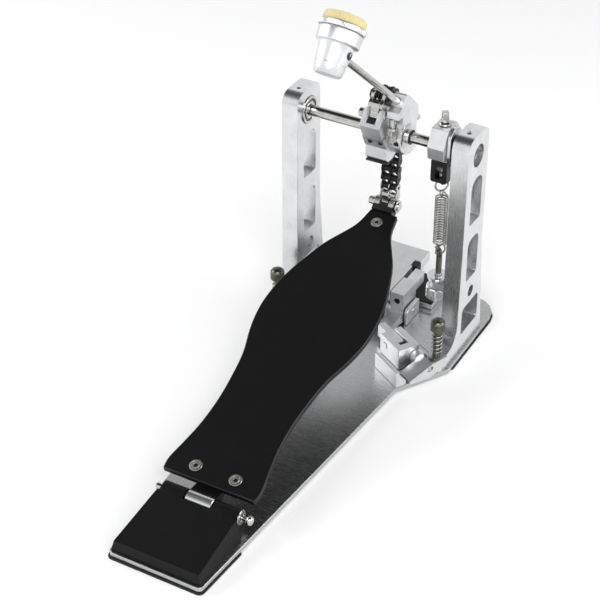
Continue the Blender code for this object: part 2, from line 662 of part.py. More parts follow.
def make_housing(root):
    low = PLATE_TOP + GAP
    wall = made(
        "clamp_housing", edge_slab([(0, low), (3.5, low), (3.5, 22.5), (0, 22.5)], -36, -0.2), root,
        "bright_aluminium"
    )
    join(wall, edge_slab([(0.0, low), (11, low), (11, 11), (1.5, 22.5), (0, 22.5)], -13, -0.2))
    pin = turned(
        [(0, 0), (0, 2.8), (22.5, 2.8), (22.5, 0)], from_edge(LEVER_S, -21, LEVER_Z), (*OUTWARD, 0), 16
    )
    made("lever_pin", pin, root, "polished_steel")
    low_lug = [(0, low), (20, low)] + arc(ROCK_Y, ROCK_Z, 7, -10, 190, 9)
    bracket = made("rocker_bracket", prism(low_lug, "X", 7.6, 13), root, "bright_aluminium")
    join(bracket, prism(low_lug, "X", 27.4, 32.8))
    join(bracket, box((8, 2, low), (32, 18, low + 1)))
    join(bracket, rod((8, ROCK_Y, ROCK_Z), (32, ROCK_Y, ROCK_Z), 3, 16))


def make_rocker(rocker):
    side = [
        (-26.5, 11), (-26.5, 19), (-3, 19), (-3, 40), (24, 40), (24, 13), (18, 9.8), (-3, 8.5), (-10, 11)
    ]
    tower = made("clamp_rocker", prism(side, "X", 13.4, 27), rocker, "bright_aluminium")
    join(tower, box((16.5, 20, 27), (25.7, 44, 39)))
    cut(tower, rod((0, ROCK_Y, ROCK_Z), (40, ROCK_Y, ROCK_Z), 3.3, 16))
    cut(tower, rod((20.5, -10, 31.5), (20.5, 6, 31.5), 2.4, 12))
    jaw = [(-27, -3), (12.6, -3), (12.6, 45.4), (10.2, 45.4), (10.2, 54.8), (17, 54.8), (17, 75), (-27, 75)]
    made("clamp_jaw", prism(jaw, "Z", 29.5, 40.2), rocker, "bright_aluminium")
    made("jaw_pad", box((-26.5, 36, 27.5), (9.9, 74.5, 29.2)), rocker, "black_rubber")


def make_lever(lever):
    ramp = [(12.9, 7.1), (12.9, 10.5), (37, 21.8), (37, 9.5), (35.5, 7.1)]
    wing = made("clamp_lever", edge_slab(ramp, -14, 2.7), lever, "bright_aluminium")
    arm = [(30, 8), (30, 18.5), (37, 21.8), (52.3, 24.5), (52, 17), (36, 7.6)]
    join(wing, edge_slab(arm, 0.1, 2.7))
    barrel = turned([(0, 0), (0, 7), (8, 7), (8, 0)], from_edge(LEVER_S, -20.8, LEVER_Z), (*OUTWARD, 0), 20)
    join(wing, barrel)
    cut(wing, rod(from_edge(LEVER_S, -30, LEVER_Z), from_edge(LEVER_S, 10, LEVER_Z), 3.1, 16))


def make_fork(fork):
    low = PLATE_TOP + 0.5
    shape = [(16, -21.3), (38, -21.3), (38, -53), (31, -53), (31, -29), (22.5, -29), (22.5, -53), (16, -53)]
    block = made("fork_block", prism([edge(s, t) for s, t in shape], "Z", low, 28), fork, "bright_aluminium")
    cut(block, rod(from_edge(10, -44, 20), from_edge(45, -44, 20), 2.8, 16))
    link = [(23, -68), (30.5, -68), (30.5, -39)] + [(26.75 + 3.75 * cos(a), -38 + 3.75 * sin(a)) for a in
            [radians(30 * i) for i in range(1, 6)]] + [(23, -39)]
    bar = made("clamp_link", prism([edge(s, t) for s, t in link], "Z", 13, 26), fork, "bright_aluminium")
    join(bar, rod(from_edge(15.4, -44, 20), from_edge(38.6, -44, 20), 2.5, 16))


# ---- Assembly -----------------------------------------------------------------------------

def main():
    clear_scene()
    root = body("root")
    shaft = body("shaft_axis", (0, 0, SHAFT_Z), root)
    board = body("footboard_axis", (0, HINGE_Y, HINGE_Z), root)
    make_base(root)
    make_heel(root)
    make_hoop_bed(root)
    for side, name in ((-1, "left"), (1, "right")):
        make_post(root, side, f"{name}_post")
        make_bearing(root, shaft, side, name)
        make_spur_spring(root, side, name)
        make_spur(body(f"{name}_spur_axis", (side * SPUR_X, SPUR_Y, 22), root), side, name)
    make_adjuster(root, body("nut_axis", (SPRING_X, 3, 53), root))
    make_footboard(board)
    make_toe(board)
    make_shaft(shaft)
    make_cam(shaft)
    make_hub(shaft)
    make_beater(body("beater_slide", HEAD_CENTRE, shaft))
    make_spring_collar(shaft)
    links = []
    owner = shaft
    for number in range(LINK_COUNT):
        angle = RUN_ANGLE + LINK_TURN * (LINK_COUNT - number)
        owner = body(f"chain_joint_{number + 1}", (0, *on_chain(angle)), owner)
        links.append(owner)
    make_chain(shaft, links, body("chain_run_joint", (0, TOE_Y, TOE_Z), board))
    make_yoke(body("yoke_axis", (SPRING_X, 0, YOKE_Z), shaft))
    spring = body("spring_axis", (SPRING_X, 3, 95), root)
    make_spring(spring, body("spring_top", (SPRING_X, 0, YOKE_Z - 18), spring))
    make_housing(root)
    make_rocker(body("rocker_axis", (20, ROCK_Y, ROCK_Z), root))
    make_lever(body("lever_axis", from_edge(LEVER_S, 0, LEVER_Z), root))
    make_fork(body("fork_slide", from_edge(27, -44, 20), root))


main()
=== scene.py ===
# %% [markdown]
# # A bass drum pedal, finished piece by piece
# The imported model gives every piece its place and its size. This script gives each one the edges,
# small parts and surface that the real pedal has. Sizes below are in millimetres, counted across
# from the middle of the pedal (x), towards the drum from the beater shaft (y) and up from the
# floor (z), because that is how a pedal is drawn in a workshop.

import json
from math import acos, atan2, cos, degrees, pi, radians, sin

import bmesh
import bpy
from mathutils import Matrix, Vector

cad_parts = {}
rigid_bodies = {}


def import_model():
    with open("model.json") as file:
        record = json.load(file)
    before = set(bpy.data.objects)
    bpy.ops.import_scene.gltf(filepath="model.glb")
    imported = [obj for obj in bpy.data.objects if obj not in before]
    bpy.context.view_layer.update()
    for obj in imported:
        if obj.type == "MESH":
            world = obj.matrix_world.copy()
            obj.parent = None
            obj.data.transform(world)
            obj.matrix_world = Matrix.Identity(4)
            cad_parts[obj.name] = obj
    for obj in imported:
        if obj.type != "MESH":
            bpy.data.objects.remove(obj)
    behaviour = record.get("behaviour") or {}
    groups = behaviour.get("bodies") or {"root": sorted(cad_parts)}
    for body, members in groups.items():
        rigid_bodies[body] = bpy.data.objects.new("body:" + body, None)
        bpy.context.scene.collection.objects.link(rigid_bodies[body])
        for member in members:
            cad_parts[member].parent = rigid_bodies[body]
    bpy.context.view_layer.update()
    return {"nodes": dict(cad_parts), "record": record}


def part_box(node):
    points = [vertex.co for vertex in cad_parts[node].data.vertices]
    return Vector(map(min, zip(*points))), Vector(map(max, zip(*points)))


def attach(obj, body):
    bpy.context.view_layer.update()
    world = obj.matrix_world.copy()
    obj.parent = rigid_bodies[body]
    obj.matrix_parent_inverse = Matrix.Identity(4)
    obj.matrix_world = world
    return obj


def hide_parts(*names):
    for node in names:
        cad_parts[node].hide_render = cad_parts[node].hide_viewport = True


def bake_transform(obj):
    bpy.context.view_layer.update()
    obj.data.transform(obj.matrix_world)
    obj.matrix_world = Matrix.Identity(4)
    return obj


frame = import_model()
MM = 0.001
RIGHT = (1, 0, 0)
UP = (0, 0, 1)
DOWN = (0, 0, -1)
shaft_low, shaft_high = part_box("shaft")
SHAFT = (shaft_low + shaft_high) / 2 / MM
SHAFT.x = 0
print("the beater shaft lies at", [round(value, 1) for value in SHAFT], "mm")

# %% [markdown]
# ## Small helpers
# Every solid here is one of a few kinds: a turned piece, an extruded outline, a bent wire, or a
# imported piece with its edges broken. One function for each keeps the rest of the lesson short.


# %% Placing and naming
def place(x, y, z):
    """A point in metres from millimetres across, from the shaft, and up."""
    return Vector((x, y + SHAFT.y, z)) * MM


def finish_piece(name, mesh, body, finish, smooth=35):
    mesh.materials.clear()
    mesh.materials.append(finish)
    mesh.shade_smooth()
    mesh.set_sharp_from_angle(angle=radians(smooth))
    piece = bpy.data.objects.new(name, mesh)
    bpy.context.scene.collection.objects.link(piece)
    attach(piece, body)
    return piece


def mesh_from(bm, name):
    """A mesh in metres from a bmesh in the workshop's millimetres."""
    bmesh.ops.recalc_face_normals(bm, faces=bm.faces)
    bm.transform(Matrix.Scale(MM, 4) @ Matrix.Translation((0, SHAFT.y, 0)))
    mesh = bpy.data.meshes.new(name)
    bm.to_mesh(mesh)
    bm.free()
    return mesh


# %% [markdown]
# ## Colour and nodes
# Colours are written the way a paint chart gives them, as sRGB hex, and turned to linear light in
# one place. One function adds any node with its settings and its links.


# %% Colour and node helpers
def linear(hex_colour):
    parts = [int(hex_colour[i : i + 2], 16) / 255 for i in (1, 3, 5)]
    return tuple(c / 12.92 if c <= 0.04045 else ((c + 0.055) / 1.055) ** 2.4 for c in parts) + (1.0,)


def node(tree, kind, settings=None, links=None):
    """Adds a node. settings fill its properties or inputs, links join inputs to other outputs."""
    made = tree.nodes.new(kind)
    for key, value in (settings or {}).items():
        if isinstance(key, str) and hasattr(made, key):
            setattr(made, key, value)
        else:
            made.inputs[key].default_value = value
    for key, output in (links or {}).items():
        tree.links.new(output, made.inputs[key])
    return made


def surface(name, colour, roughness, metallic, **settings):
    """A new material, its node tree and its shader."""
    made = bpy.data.materials.new(name)
    made.use_nodes = True
    made.diffuse_color = linear(colour)
    tree = made.node_tree
    shader = tree.nodes["Principled BSDF"]
    shader.inputs["Base Color"].default_value = linear(colour)
    shader.inputs["Roughness"].default_value = roughness
    shader.inputs["Metallic"].default_value = metallic
    for key, value in settings.items():
        shader.inputs[key].default_value = value
    return made, tree, shader


def grain(tree, width, stretch=(1, 1, 1), detail=3):
    """Noise whose finest feature is about width mm, drawn out along an axis by stretch."""
    where = node(tree, "ShaderNodeTexCoord")
    size = 1 / (width * MM)
    scale = tuple(size / s for s in stretch)
    mapped = node(tree, "ShaderNodeMapping", {"Scale": scale}, {"Vector": where.outputs["Object"]})
    settings = {"Scale": 1.0, "Detail": detail, "Roughness": 0.6}
    return node(tree, "ShaderNodeTexNoise", settings, {"Vector": mapped.outputs["Vector"]}).outputs["Fac"]


def spread(tree, fac, low, high, start=0.3, end=0.7):
    """Turns a pattern into values between low and high."""
    settings = {"From Min": start, "From Max": end, "To Min": low, "To Max": high}
    return node(tree, "ShaderNodeMapRange", settings, {"Value": fac}).outputs["Result"]


def shade(tree, shader, fac, dark, light, start=0.3, end=0.7):
    mixed = node(tree, "ShaderNodeMix", {"data_type": "RGBA"})
    mixed.inputs[6].default_value = linear(dark)
    mixed.inputs[7].default_value = linear(light)
    tree.links.new(spread(tree, fac, 0, 1, start, end), mixed.inputs[0])
    tree.links.new(mixed.outputs[2], shader.inputs["Base Color"])


def relief(tree, shader, fac, depth, strength=1.0):
    """A bump whose height is depth mm."""
    bump = node(tree, "ShaderNodeBump", {"Strength": strength, "Distance": depth * MM}, {"Height": fac})
    tree.links.new(bump.outputs["Normal"], shader.inputs["Normal"])


# %% [markdown]
# ## The finishes
# The posts and the clamp are milled aluminium, then fine ground and clear anodised: a soft bright
# sheen with the faint lines of the cutter. Real cutter lines are a few hundredths of a millimetre
# apart, too fine to see here, so they are drawn about 0.4 mm apart.


# %% Milled aluminium
def make_milled_aluminium():
    made, tree, shader = surface("milled_aluminium", "#dfe0e1", 0.26, 1.0)
    lines = grain(tree, 0.4, (1, 1, 30))
    cloud = grain(tree, 14)
    tree.links.new(spread(tree, lines, 0.24, 0.29), shader.inputs["Roughness"])
    shade(tree, shader, cloud, "#d0d1d2", "#dddedf")
    relief(tree, shader, lines, 0.001, 0.05)
    return made


MILLED = make_milled_aluminium()
print("made", MILLED.name)

# %% [markdown]
# The clamp, the beater and the small castings are the same metal, but bead blasted after milling.
# The blasting leaves no lines and spreads the highlights.


# %% Blasted aluminium
def make_blasted_aluminium():
    made, tree, shader = surface("blasted_aluminium", "#d8d9da", 0.4, 1.0)
    tree.links.new(spread(tree, grain(tree, 0.6), 0.36, 0.44), shader.inputs["Roughness"])
    shade(tree, shader, grain(tree, 9), "#d2d3d4", "#dddedf")
    relief(tree, shader, grain(tree, 0.3), 0.002, 0.3)
    return made


BLASTED = make_blasted_aluminium()
print("made", BLASTED.name)

# %% [markdown]
# The base plate is brushed across its width and then left plain, so it is greyer than the posts
# and its highlight is drawn out. The brush marks are 0.1 mm in the real plate and 0.3 mm here.


# %% Brushed aluminium plate
def make_brushed_plate():
    made, tree, shader = surface("brushed_plate", "#b4b5b6", 0.24, 1.0, Anisotropic=0.4)
    marks = grain(tree, 0.3, (40, 1, 1))
    speckle = grain(tree, 0.9)
    tree.links.new(spread(tree, marks, 0.2, 0.32), shader.inputs["Roughness"])
    shade(tree, shader, speckle, "#acadae", "#c4c5c6")
    relief(tree, shader, marks, 0.002, 0.3)
    return made


BRUSHED = make_brushed_plate()
print("made", BRUSHED.name)

# %% [markdown]
# The board and the heel are black anodised aluminium. Anodising leaves a dense, satin skin: a dark
# body with a soft wide highlight and a fine blasted grit of about 0.2 mm.


# %% Black anodised aluminium
def make_black_anodised():
    made, tree, shader = surface("black_anodised", "#0c0c0d", 0.4, 0.0, **{"Specular IOR Level": 0.16})
    grit = grain(tree, 0.25)
    wear = grain(tree, 12)
    tree.links.new(spread(tree, wear, 0.38, 0.43), shader.inputs["Roughness"])
    shade(tree, shader, grit, "#0a0a0b", "#101011")
    relief(tree, shader, grit, 0.004, 0.3)
    return made


ANODISED = make_black_anodised()
print("made", ANODISED.name)

# %% [markdown]
# Where the anodised board was chamfered after colouring, bare metal shows as a thin grey line.


# %% Bare chamfer
def make_bare_edge():
    made, tree, shader = surface("bare_chamfer", "#2b2b2d", 0.3, 0.7)
    tree.links.new(spread(tree, grain(tree, 0.5), 0.24, 0.4), shader.inputs["Roughness"])
    return made


BARE_EDGE = make_bare_edge()
print("made", BARE_EDGE.name)

# %% [markdown]
# The shaft, the pins and the screws are ground and nickel plated steel: nearly a mirror, with faint
# rings from grinding. The springs are the same steel left darker by its heat treatment.


# %% Plated steel, spring steel and black steel
def make_plated_steel(name, dark, light, rough_low, rough_high):
    made, tree, shader = surface(name, light, rough_low, 1.0)
    rings = grain(tree, 0.5)
    tree.links.new(spread(tree, rings, rough_low, rough_high), shader.inputs["Roughness"])
    shade(tree, shader, grain(tree, 6), dark, light)
    return made


PLATED = make_plated_steel("nickel_plated_steel", "#b4b4b1", "#c8c8c5", 0.09, 0.18)
SATIN_STEEL = make_plated_steel("satin_screw_steel", "#a9a8a2", "#bdbcb6", 0.26, 0.38)
SPRING_STEEL = make_plated_steel("oiled_spring_steel", "#8a8a88", "#a6a6a3", 0.14, 0.25)
DARK_STEEL = make_plated_steel("dark_knurled_steel", "#50504a", "#6a6a62", 0.22, 0.36)


def make_black_steel():
    """Blackened steel: an oiled oxide skin, a little lighter in random patches."""
    made, tree, shader = surface("blackened_steel", "#121212", 0.3, 0.35)
    tree.links.new(spread(tree, grain(tree, 0.8), 0.26, 0.44), shader.inputs["Roughness"])
    shade(tree, shader, grain(tree, 4), "#0b0b0b", "#1b1b1a")
    return made


BLACK_STEEL = make_black_steel()
print("made", PLATED.name, SPRING_STEEL.name, BLACK_STEEL.name)

# %% [markdown]
# The soles and the pads are moulded rubber with a fine matt grain. The beater's face is pressed
# wool felt: short fibres lie every way, so it has a soft sheen, tufts and no clear highlight.


# %% Rubber and felt
def make_rubber():
    made, tree, shader = surface("moulded_rubber", "#121212", 0.72, 0.0)
    pits = grain(tree, 0.5)
    tree.links.new(spread(tree, pits, 0.62, 0.82), shader.inputs["Roughness"])
    relief(tree, shader, pits, 0.03, 0.6)
    return made


def make_felt():
    made, tree, shader = surface("pressed_wool_felt", "#cdbf8e", 0.95, 0.0, **{"Sheen Weight": 0.35})
    fibres = grain(tree, 0.5, (3, 1, 1), 6)
    tufts = grain(tree, 2.2)
    shade(tree, shader, fibres, "#b9a973", "#dccf9f")
    tree.links.new(spread(tree, tufts, 0.85, 1.0), shader.inputs["Roughness"])
    relief(tree, shader, fibres, 0.3, 0.8)
    return made


RUBBER = make_rubber()
FELT = make_felt()
print("made", RUBBER.name, FELT.name)

# %% [markdown]
# ## Breaking the edges
# No machined part has a knife edge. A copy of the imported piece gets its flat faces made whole
# again, and then a Bevel on each sharp corner, so that every edge catches a thin line of light.


# %% Whose piece is whose
BODY_OF = {name: body for body, names in frame["record"]["behaviour"]["bodies"].items() for name in names}


# %% Edge breaking
def eased(name, finish, edge=0.5, segments=2, angle=30, edge_finish=None):
    """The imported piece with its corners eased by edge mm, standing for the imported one."""
    mesh = frame["nodes"][name].data.copy()
    bm = bmesh.new()
    bm.from_mesh(mesh)
    bmesh.ops.remove_doubles(bm, verts=bm.verts, dist=2e-6)
    bmesh.ops.dissolve_limit(bm, angle_limit=radians(1.5), verts=bm.verts, edges=bm.edges)
    bm.to_mesh(mesh)
    bm.free()
    if "sharp_face" in mesh.attributes:
        mesh.attributes.remove(mesh.attributes["sharp_face"])
    piece = finish_piece(f"{name}_finished", mesh, BODY_OF[name], finish)
    if edge_finish:
        mesh.materials.append(edge_finish)
    ease = piece.modifiers.new("ease edges", "BEVEL")
    ease.width = edge * MM
    ease.segments = segments
    ease.limit_method = "ANGLE"
    ease.angle_limit = radians(angle)
    ease.harden_normals = True
    ease.material = 1 if edge_finish else -1
    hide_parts(name)
    return piece


# %% [markdown]
# A turned piece is a profile spun round a line, as on a lathe. A ring's profile closes on itself, so
# it has a true hole.


# %% Turning
def across(axis):
    side = axis.orthogonal().normalized()
    return side, axis.cross(side)


def turned(name, profile, start, direction, body, finish, steps=48, smooth=35):
    """profile holds (distance along, radius) pairs. A radius of 0 closes an end."""
    axis = Vector(direction).normalized()
    side, other = across(axis)
    bm = bmesh.new()
    rows = []
    for along, radius in profile:
        centre = Vector(start) + axis * along
        if radius == 0:
            rows.append([bm.verts.new(centre)])
        else:
            rows.append([
                bm.verts.new(centre + (side * cos(a) + other * sin(a)) * radius)
                for a in [2 * pi * i / steps for i in range(steps)]
            ])
    for one, two in zip(rows, rows[1:]):
        for i in range(steps):
            j = (i + 1) % steps
            corners = [one[i % len(one)], one[j % len(one)], two[j % len(two)], two[i % len(two)]]
            corners = list(dict.fromkeys(corners))
            if len(corners) > 2:
                bm.faces.new(corners)
    return finish_piece(name, mesh_from(bm, name), body, finish, smooth)


def hollow(name, inner, outer, width, start, direction, body, finish, ease=0.3, steps=64):
    """A ring with eased corners: its profile runs out, round and back through the hole."""
    profile = [
        (ease, inner), (0, inner + ease), (0, outer - ease), (ease, outer), (width - ease, outer),
        (width, outer - ease), (width, inner + ease), (width - ease, inner), (ease, inner),
    ]
    return turned(name, profile, start, direction, body, finish, steps)


# %% [markdown]
# Plates, nuts and bars are outlines pushed through a thickness, with their corners eased by a Bevel.
# Round stretches of an outline are arcs.


# %% Extruding
def plate(name, outline, axis, low, high, body, finish, ease=0.25, segments=2):
    """axis X takes (y, z) outlines, Y takes (x, z) and Z takes (x, y)."""
    turns = {"X": lambda a, b, c: (c, a, b), "Y": lambda a, b, c: (a, c, b), "Z": lambda a, b, c: (a, b, c)}
    turn = turns[axis]
    bm = bmesh.new()
    ends = [[bm.verts.new(turn(a, b, c)) for a, b in outline] for c in (low, high)]
    bm.faces.new(ends[0])
    bm.faces.new(ends[1])
    for i in range(len(outline)):
        j = (i + 1) % len(outline)
        bm.faces.new((ends[0][i], ends[0][j], ends[1][j], ends[1][i]))
    piece = finish_piece(name, mesh_from(bm, name), body, finish)
    if ease:
        bevel = piece.modifiers.new("ease edges", "BEVEL")
        bevel.width = ease * MM
        bevel.segments = segments
        bevel.limit_method = "ANGLE"
        bevel.angle_limit = radians(40)
    return piece


def ring_points(a, b, radius, start=0, end=360, steps=24):
    angles = [radians(start + (end - start) * i / steps) for i in range(steps + (end - start < 360))]
    return [(a + radius * cos(t), b + radius * sin(t)) for t in angles]


print("an arc of 24 steps has", len(ring_points(0, 0, 1)), "points")

# %% [markdown]
# ## Base plate, soles and heel
# The plate is sheared from 5 mm sheet, so its edge is barely broken. The rubber soles are glued
# below it. The heel is a milled wedge with wider chamfers, where the player's heel rubs.

# %% Base and heel
eased("base_plate", BRUSHED, 0.5)
eased("heel_sole", RUBBER, 0.3)
eased("front_sole", RUBBER, 0.3)
eased("heel_block", ANODISED, 0.9, 3, edge_finish=BARE_EDGE)
hinge_low, hinge_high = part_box("hinge_pin")
HINGE = (hinge_low + hinge_high) / 2 / MM - Vector((0, SHAFT.y, 0))
pin_profile = [
    (0, 0), (0.3, 2.2), (0.9, 2.9), (80, 2.9), (80.6, 2.2), (84, 1.9), (85.6, 2.0), (86.3, 3.1),
    (87.4, 4.0), (88.8, 4.25), (90.2, 3.9), (91.3, 2.8), (91.9, 0),
]
hinge_pin = turned(
    "hinge_pin_turned", pin_profile, (-43.5, HINGE.y, HINGE.z), RIGHT, "frame", PLATED
)
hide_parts("hinge_pin")
hollow("hinge_washer", 3.1, 6.6, 1.3, (36.4, HINGE.y, HINGE.z), RIGHT, "frame", PLATED)
hollow(
    "knuckle_sleeve", 3.4, 7.15, 24.3, (-12.6, HINGE.y, HINGE.z), RIGHT, "pedal_board", MILLED,
    0.4
)
print("heel hinge at", [round(v, 1) for v in HINGE])

# %% [markdown]
# ## Footboard
# One piece of 5.5 mm aluminium with smooth sides. Its packed outline has short straight steps, so
# the board is drawn again here with a curve through the same widths, and its top edge gets the
# bare chamfer.

# %% Footboard
BOARD_START = Vector((-305.3, 31.5))
BOARD_ALONG = (Vector((5.3, 118.6)) - BOARD_START).normalized()
BOARD_UP = Vector((-BOARD_ALONG.y, BOARD_ALONG.x))
BOARD_THICK = 5.5
BOARD_WIDTHS = (
    (0, 43.5), (10, 44.5), (30, 40.8), (50, 37.6), (75, 36.2), (100, 37.4), (130, 41.2),
    (155, 48.4), (172, 52), (190, 53.4), (210, 52), (230, 48.2), (250, 42), (270, 34.6),
    (288, 24.5), (297, 19.5), (306, 16.3), (322.6, 13.4),
)


def on_board(along, up):
    point = BOARD_START + BOARD_ALONG * along + BOARD_UP * up
    return point.x, point.y


def half_width(along):
    """A smooth curve through the board's widths."""
    for i in range(len(BOARD_WIDTHS) - 1):
        (s1, w1), (s2, w2) = BOARD_WIDTHS[i], BOARD_WIDTHS[i + 1]
        if along <= s2:
            break
    s0, w0 = BOARD_WIDTHS[max(i - 1, 0)]
    s3, w3 = BOARD_WIDTHS[min(i + 2, len(BOARD_WIDTHS) - 1)]
    slope1 = (w2 - w0) / (s2 - s0) if i else (w2 - w1) / (s2 - s1)
    slope2 = (w3 - w1) / (s3 - s1)
    t = (along - s1) / (s2 - s1)
    span = s2 - s1
    return (
        (2 * t**3 - 3 * t**2 + 1) * w1 + (t**3 - 2 * t**2 + t) * span * slope1
        + (-2 * t**3 + 3 * t**2) * w2 + (t**3 - t**2) * span * slope2
    )


def board_mesh(name, grow=0.0, low=-BOARD_THICK, high=0.0):
    length = BOARD_WIDTHS[-1][0]
    stations = [0, 4, 8] + [8 + 4 * i for i in range(1, 78)] + [length]
    sides = [(half_width(s) + grow, s) for s in stations]
    outline = sides + [(-w, s) for w, s in reversed(sides)]
    bm = bmesh.new()
    ends = [[bm.verts.new((x, *on_board(s, up))) for x, s in outline] for up in (low, high)]
    bm.faces.new(ends[0])
    bm.faces.new(ends[1])
    for i in range(len(outline)):
        j = (i + 1) % len(outline)
        bm.faces.new((ends[0][i], ends[0][j], ends[1][j], ends[1][i]))
    return mesh_from(bm, name)


board_shape = board_mesh("footboard_finished")
board = finish_piece("footboard_finished", board_shape, "pedal_board", ANODISED)
board.data.materials.append(BARE_EDGE)
chamfer = board.modifiers.new("chamfer", "BEVEL")
chamfer.width = 0.8 * MM
chamfer.segments = 2
chamfer.limit_method = "ANGLE"
chamfer.angle_limit = radians(50)
chamfer.material = 1
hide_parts("footboard")
eased("footboard_bracket", ANODISED, 0.5)
print("footboard", round(BOARD_WIDTHS[-1][0]), "mm long")

# %% [markdown]
# ## Countersunk screws
# The board's three screws have flat heads with a hexagon socket. The socket is real depth here: the
# head is built as rings that step down into a six-sided hole.


# %% Socket screws
def socket_screw(name, centre, direction, radius, socket, body, finish, dome=0.3):
    """A flat head with a hexagon socket; centre is the middle of its top face."""
    axis = Vector(direction).normalized()
    side, other = across(axis)
    steps = 48
    bm = bmesh.new()

    def row(up, round_radius=None, flat=None):
        made = []
        for i in range(steps):
            a = 2 * pi * i / steps
            if flat is None:
                r = round_radius
            else:
                r = flat / cos((a + pi / 6) % (pi / 3) - pi / 6)
            made.append(bm.verts.new(Vector(centre) + axis * up + (side * cos(a) + other * sin(a)) * r))
        return made

    rows = [
        row(-1.0, radius), row(-0.35, radius), row(0, radius - 0.35), row(dome * 0.6, radius * 0.72),
        row(dome * 0.6, radius * 0.69), row(dome * 0.2, radius * 0.66), row(dome * 0.2, radius * 0.6),
        row(dome, radius * 0.56), row(dome, flat=socket + 0.25), row(dome - 0.3, flat=socket),
        row(-1.6, flat=socket),
    ]
    for one, two in zip(rows, rows[1:]):
        for i in range(steps):
            j = (i + 1) % steps
            bm.faces.new((one[i], one[j], two[j], two[i]))
    bm.faces.new(rows[-1])
    bm.faces.new(rows[0])
    return finish_piece(name, mesh_from(bm, name), body, finish, 30)


board_up = (0, BOARD_UP.x, BOARD_UP.y)
for label, x, along, radius in (
    ("heel_screw_left", -19, 12.4, 5.7),
    ("heel_screw_right", 19, 12.4, 5.7),
    ("toe_screw", -1, 309.5, 5.4),
):
    top = (x, *on_board(along, 0.35))
    head = socket_screw(f"{label}_head", top, board_up, radius, 1.7, "pedal_board", SATIN_STEEL)
    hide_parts(label)
    seat = [(0, 0), (0, radius + 0.7), (0.12, radius + 0.7), (0.12, 0)]
    turned(f"{label}_seat", seat, (x, *on_board(along, 0)), board_up, "pedal_board", BLACK_STEEL, 40)
print("three socket screws")

# %% [markdown]
# ## Posts and bearings
# Each post is milled from bar, so it has crisp but broken edges all round, inside its windows too.
# A 26 mm ball bearing sits in the pocket of each post: an outer race, a steel cage with its balls
# and an inner sleeve that turns with the shaft.

# %% Posts
for side in ("left", "right"):
    eased(f"{side}_post", MILLED, 0.7, 2)


# %% Bearings
def bearing(side, sign):
    """The race stands in its post and the sleeve, cage and balls go with the shaft."""
    start = (sign * 73.8, 0, SHAFT.z)
    out = (sign, 0, 0)
    race = hollow(f"{side}_race_ring", 10.4, 13, 10, start, out, "frame", PLATED)
    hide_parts(f"{side}_bearing_race")
    sleeve = hollow(f"{side}_sleeve_ring", 5.2, 8.1, 10, start, out, "axle", PLATED)
    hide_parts(f"{side}_bearing_sleeve")
    cage_start = (sign * 74.6, 0, SHAFT.z)
    hollow(f"{side}_ball_cage", 8.3, 10.2, 0.7, cage_start, out, "axle", DARK_STEEL, 0.1)
    balls = 9
    bm = bmesh.new()
    for i in range(balls):
        a = 2 * pi * i / balls
        centre = Matrix.Translation((sign * 76.2, 9.25 * cos(a), SHAFT.z + 9.25 * sin(a)))
        bmesh.ops.create_uvsphere(bm, u_segments=16, v_segments=10, radius=1.1, matrix=centre)
    finish_piece(f"{side}_balls", mesh_from(bm, f"{side}_balls"), "axle", PLATED, 60)


bearing("left", -1)
bearing("right", 1)
shaft_profile = [(0, 0), (0, 4.3), (0.7, 5), (163.3, 5), (164, 4.3), (164, 0)]
shaft = turned(
    "shaft_ground", shaft_profile, (-84, 0, SHAFT.z), RIGHT, "axle", PLATED
)
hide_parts("shaft")
print("two bearings and the shaft")

# %% [markdown]
# ## Cam, clevis and hub
# The cam is a milled wheel that stands off centre from the shaft, which makes the chain's pull grow
# through the stroke. The clevis on its front holds the end of the chain. The hub beside it carries
# the beater's rod and is pinched on the shaft by a chrome band.

# %% Cam and hub
ROD_POINT = Vector((15.0, -6.8, 244.1))
ROD_UP = Vector((0, -0.758, 0.652)).normalized()
eased("cam_wheel", BLASTED, 0.5, 2)
eased("chain_clevis", BLASTED, 0.6, 2)
eased("rod_hub", BLASTED, 0.5, 2)
eased("collar_disc", MILLED, 0.4)
cam_front = (0, -0.86, -0.51)
for x in (-4, 6):
    socket_screw(f"cam_set_screw_{x + 10}", (x, -19.6, 205), cam_front, 2.3, 1.1, "axle", BLACK_STEEL)
CLEVIS_PIN = Vector((-17.5, 231))
clevis_profile = [
    (0, 0), (0, 3.4), (0.7, 4.2), (4.2, 4.2), (4.6, 3.8), (4.6, 2.5), (24.4, 2.5), (25, 2), (25, 0)
]
clevis_bolt = turned(
    "clevis_bolt_turned", clevis_profile, (-15.2, *CLEVIS_PIN), RIGHT, "axle", PLATED
)
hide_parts("clevis_bolt")


def square_head(name, centre, direction, flat, height, body, finish, turn=0.0):
    """The square head that fits a drum key, with its corners eased."""
    axis = Vector(direction).normalized()
    side, other = across(axis)
    bm = bmesh.new()
    rows = []
    for up, size in ((0, flat), (height, flat)):
        rows.append([
            bm.verts.new(Vector(centre) + axis * up + (side * cos(a) + other * sin(a)) * size / 2 * 2**0.5)
            for a in [turn + pi / 2 * i for i in range(4)]
        ])
    for i in range(4):
        j = (i + 1) % 4
        bm.faces.new((rows[0][i], rows[0][j], rows[1][j], rows[1][i]))
    bm.faces.new(rows[0])
    bm.faces.new(rows[1])
    piece = finish_piece(name, mesh_from(bm, name), body, finish)
    bevel = piece.modifiers.new("ease", "BEVEL")
    bevel.width = 0.5 * MM
    bevel.segments = 3
    return piece


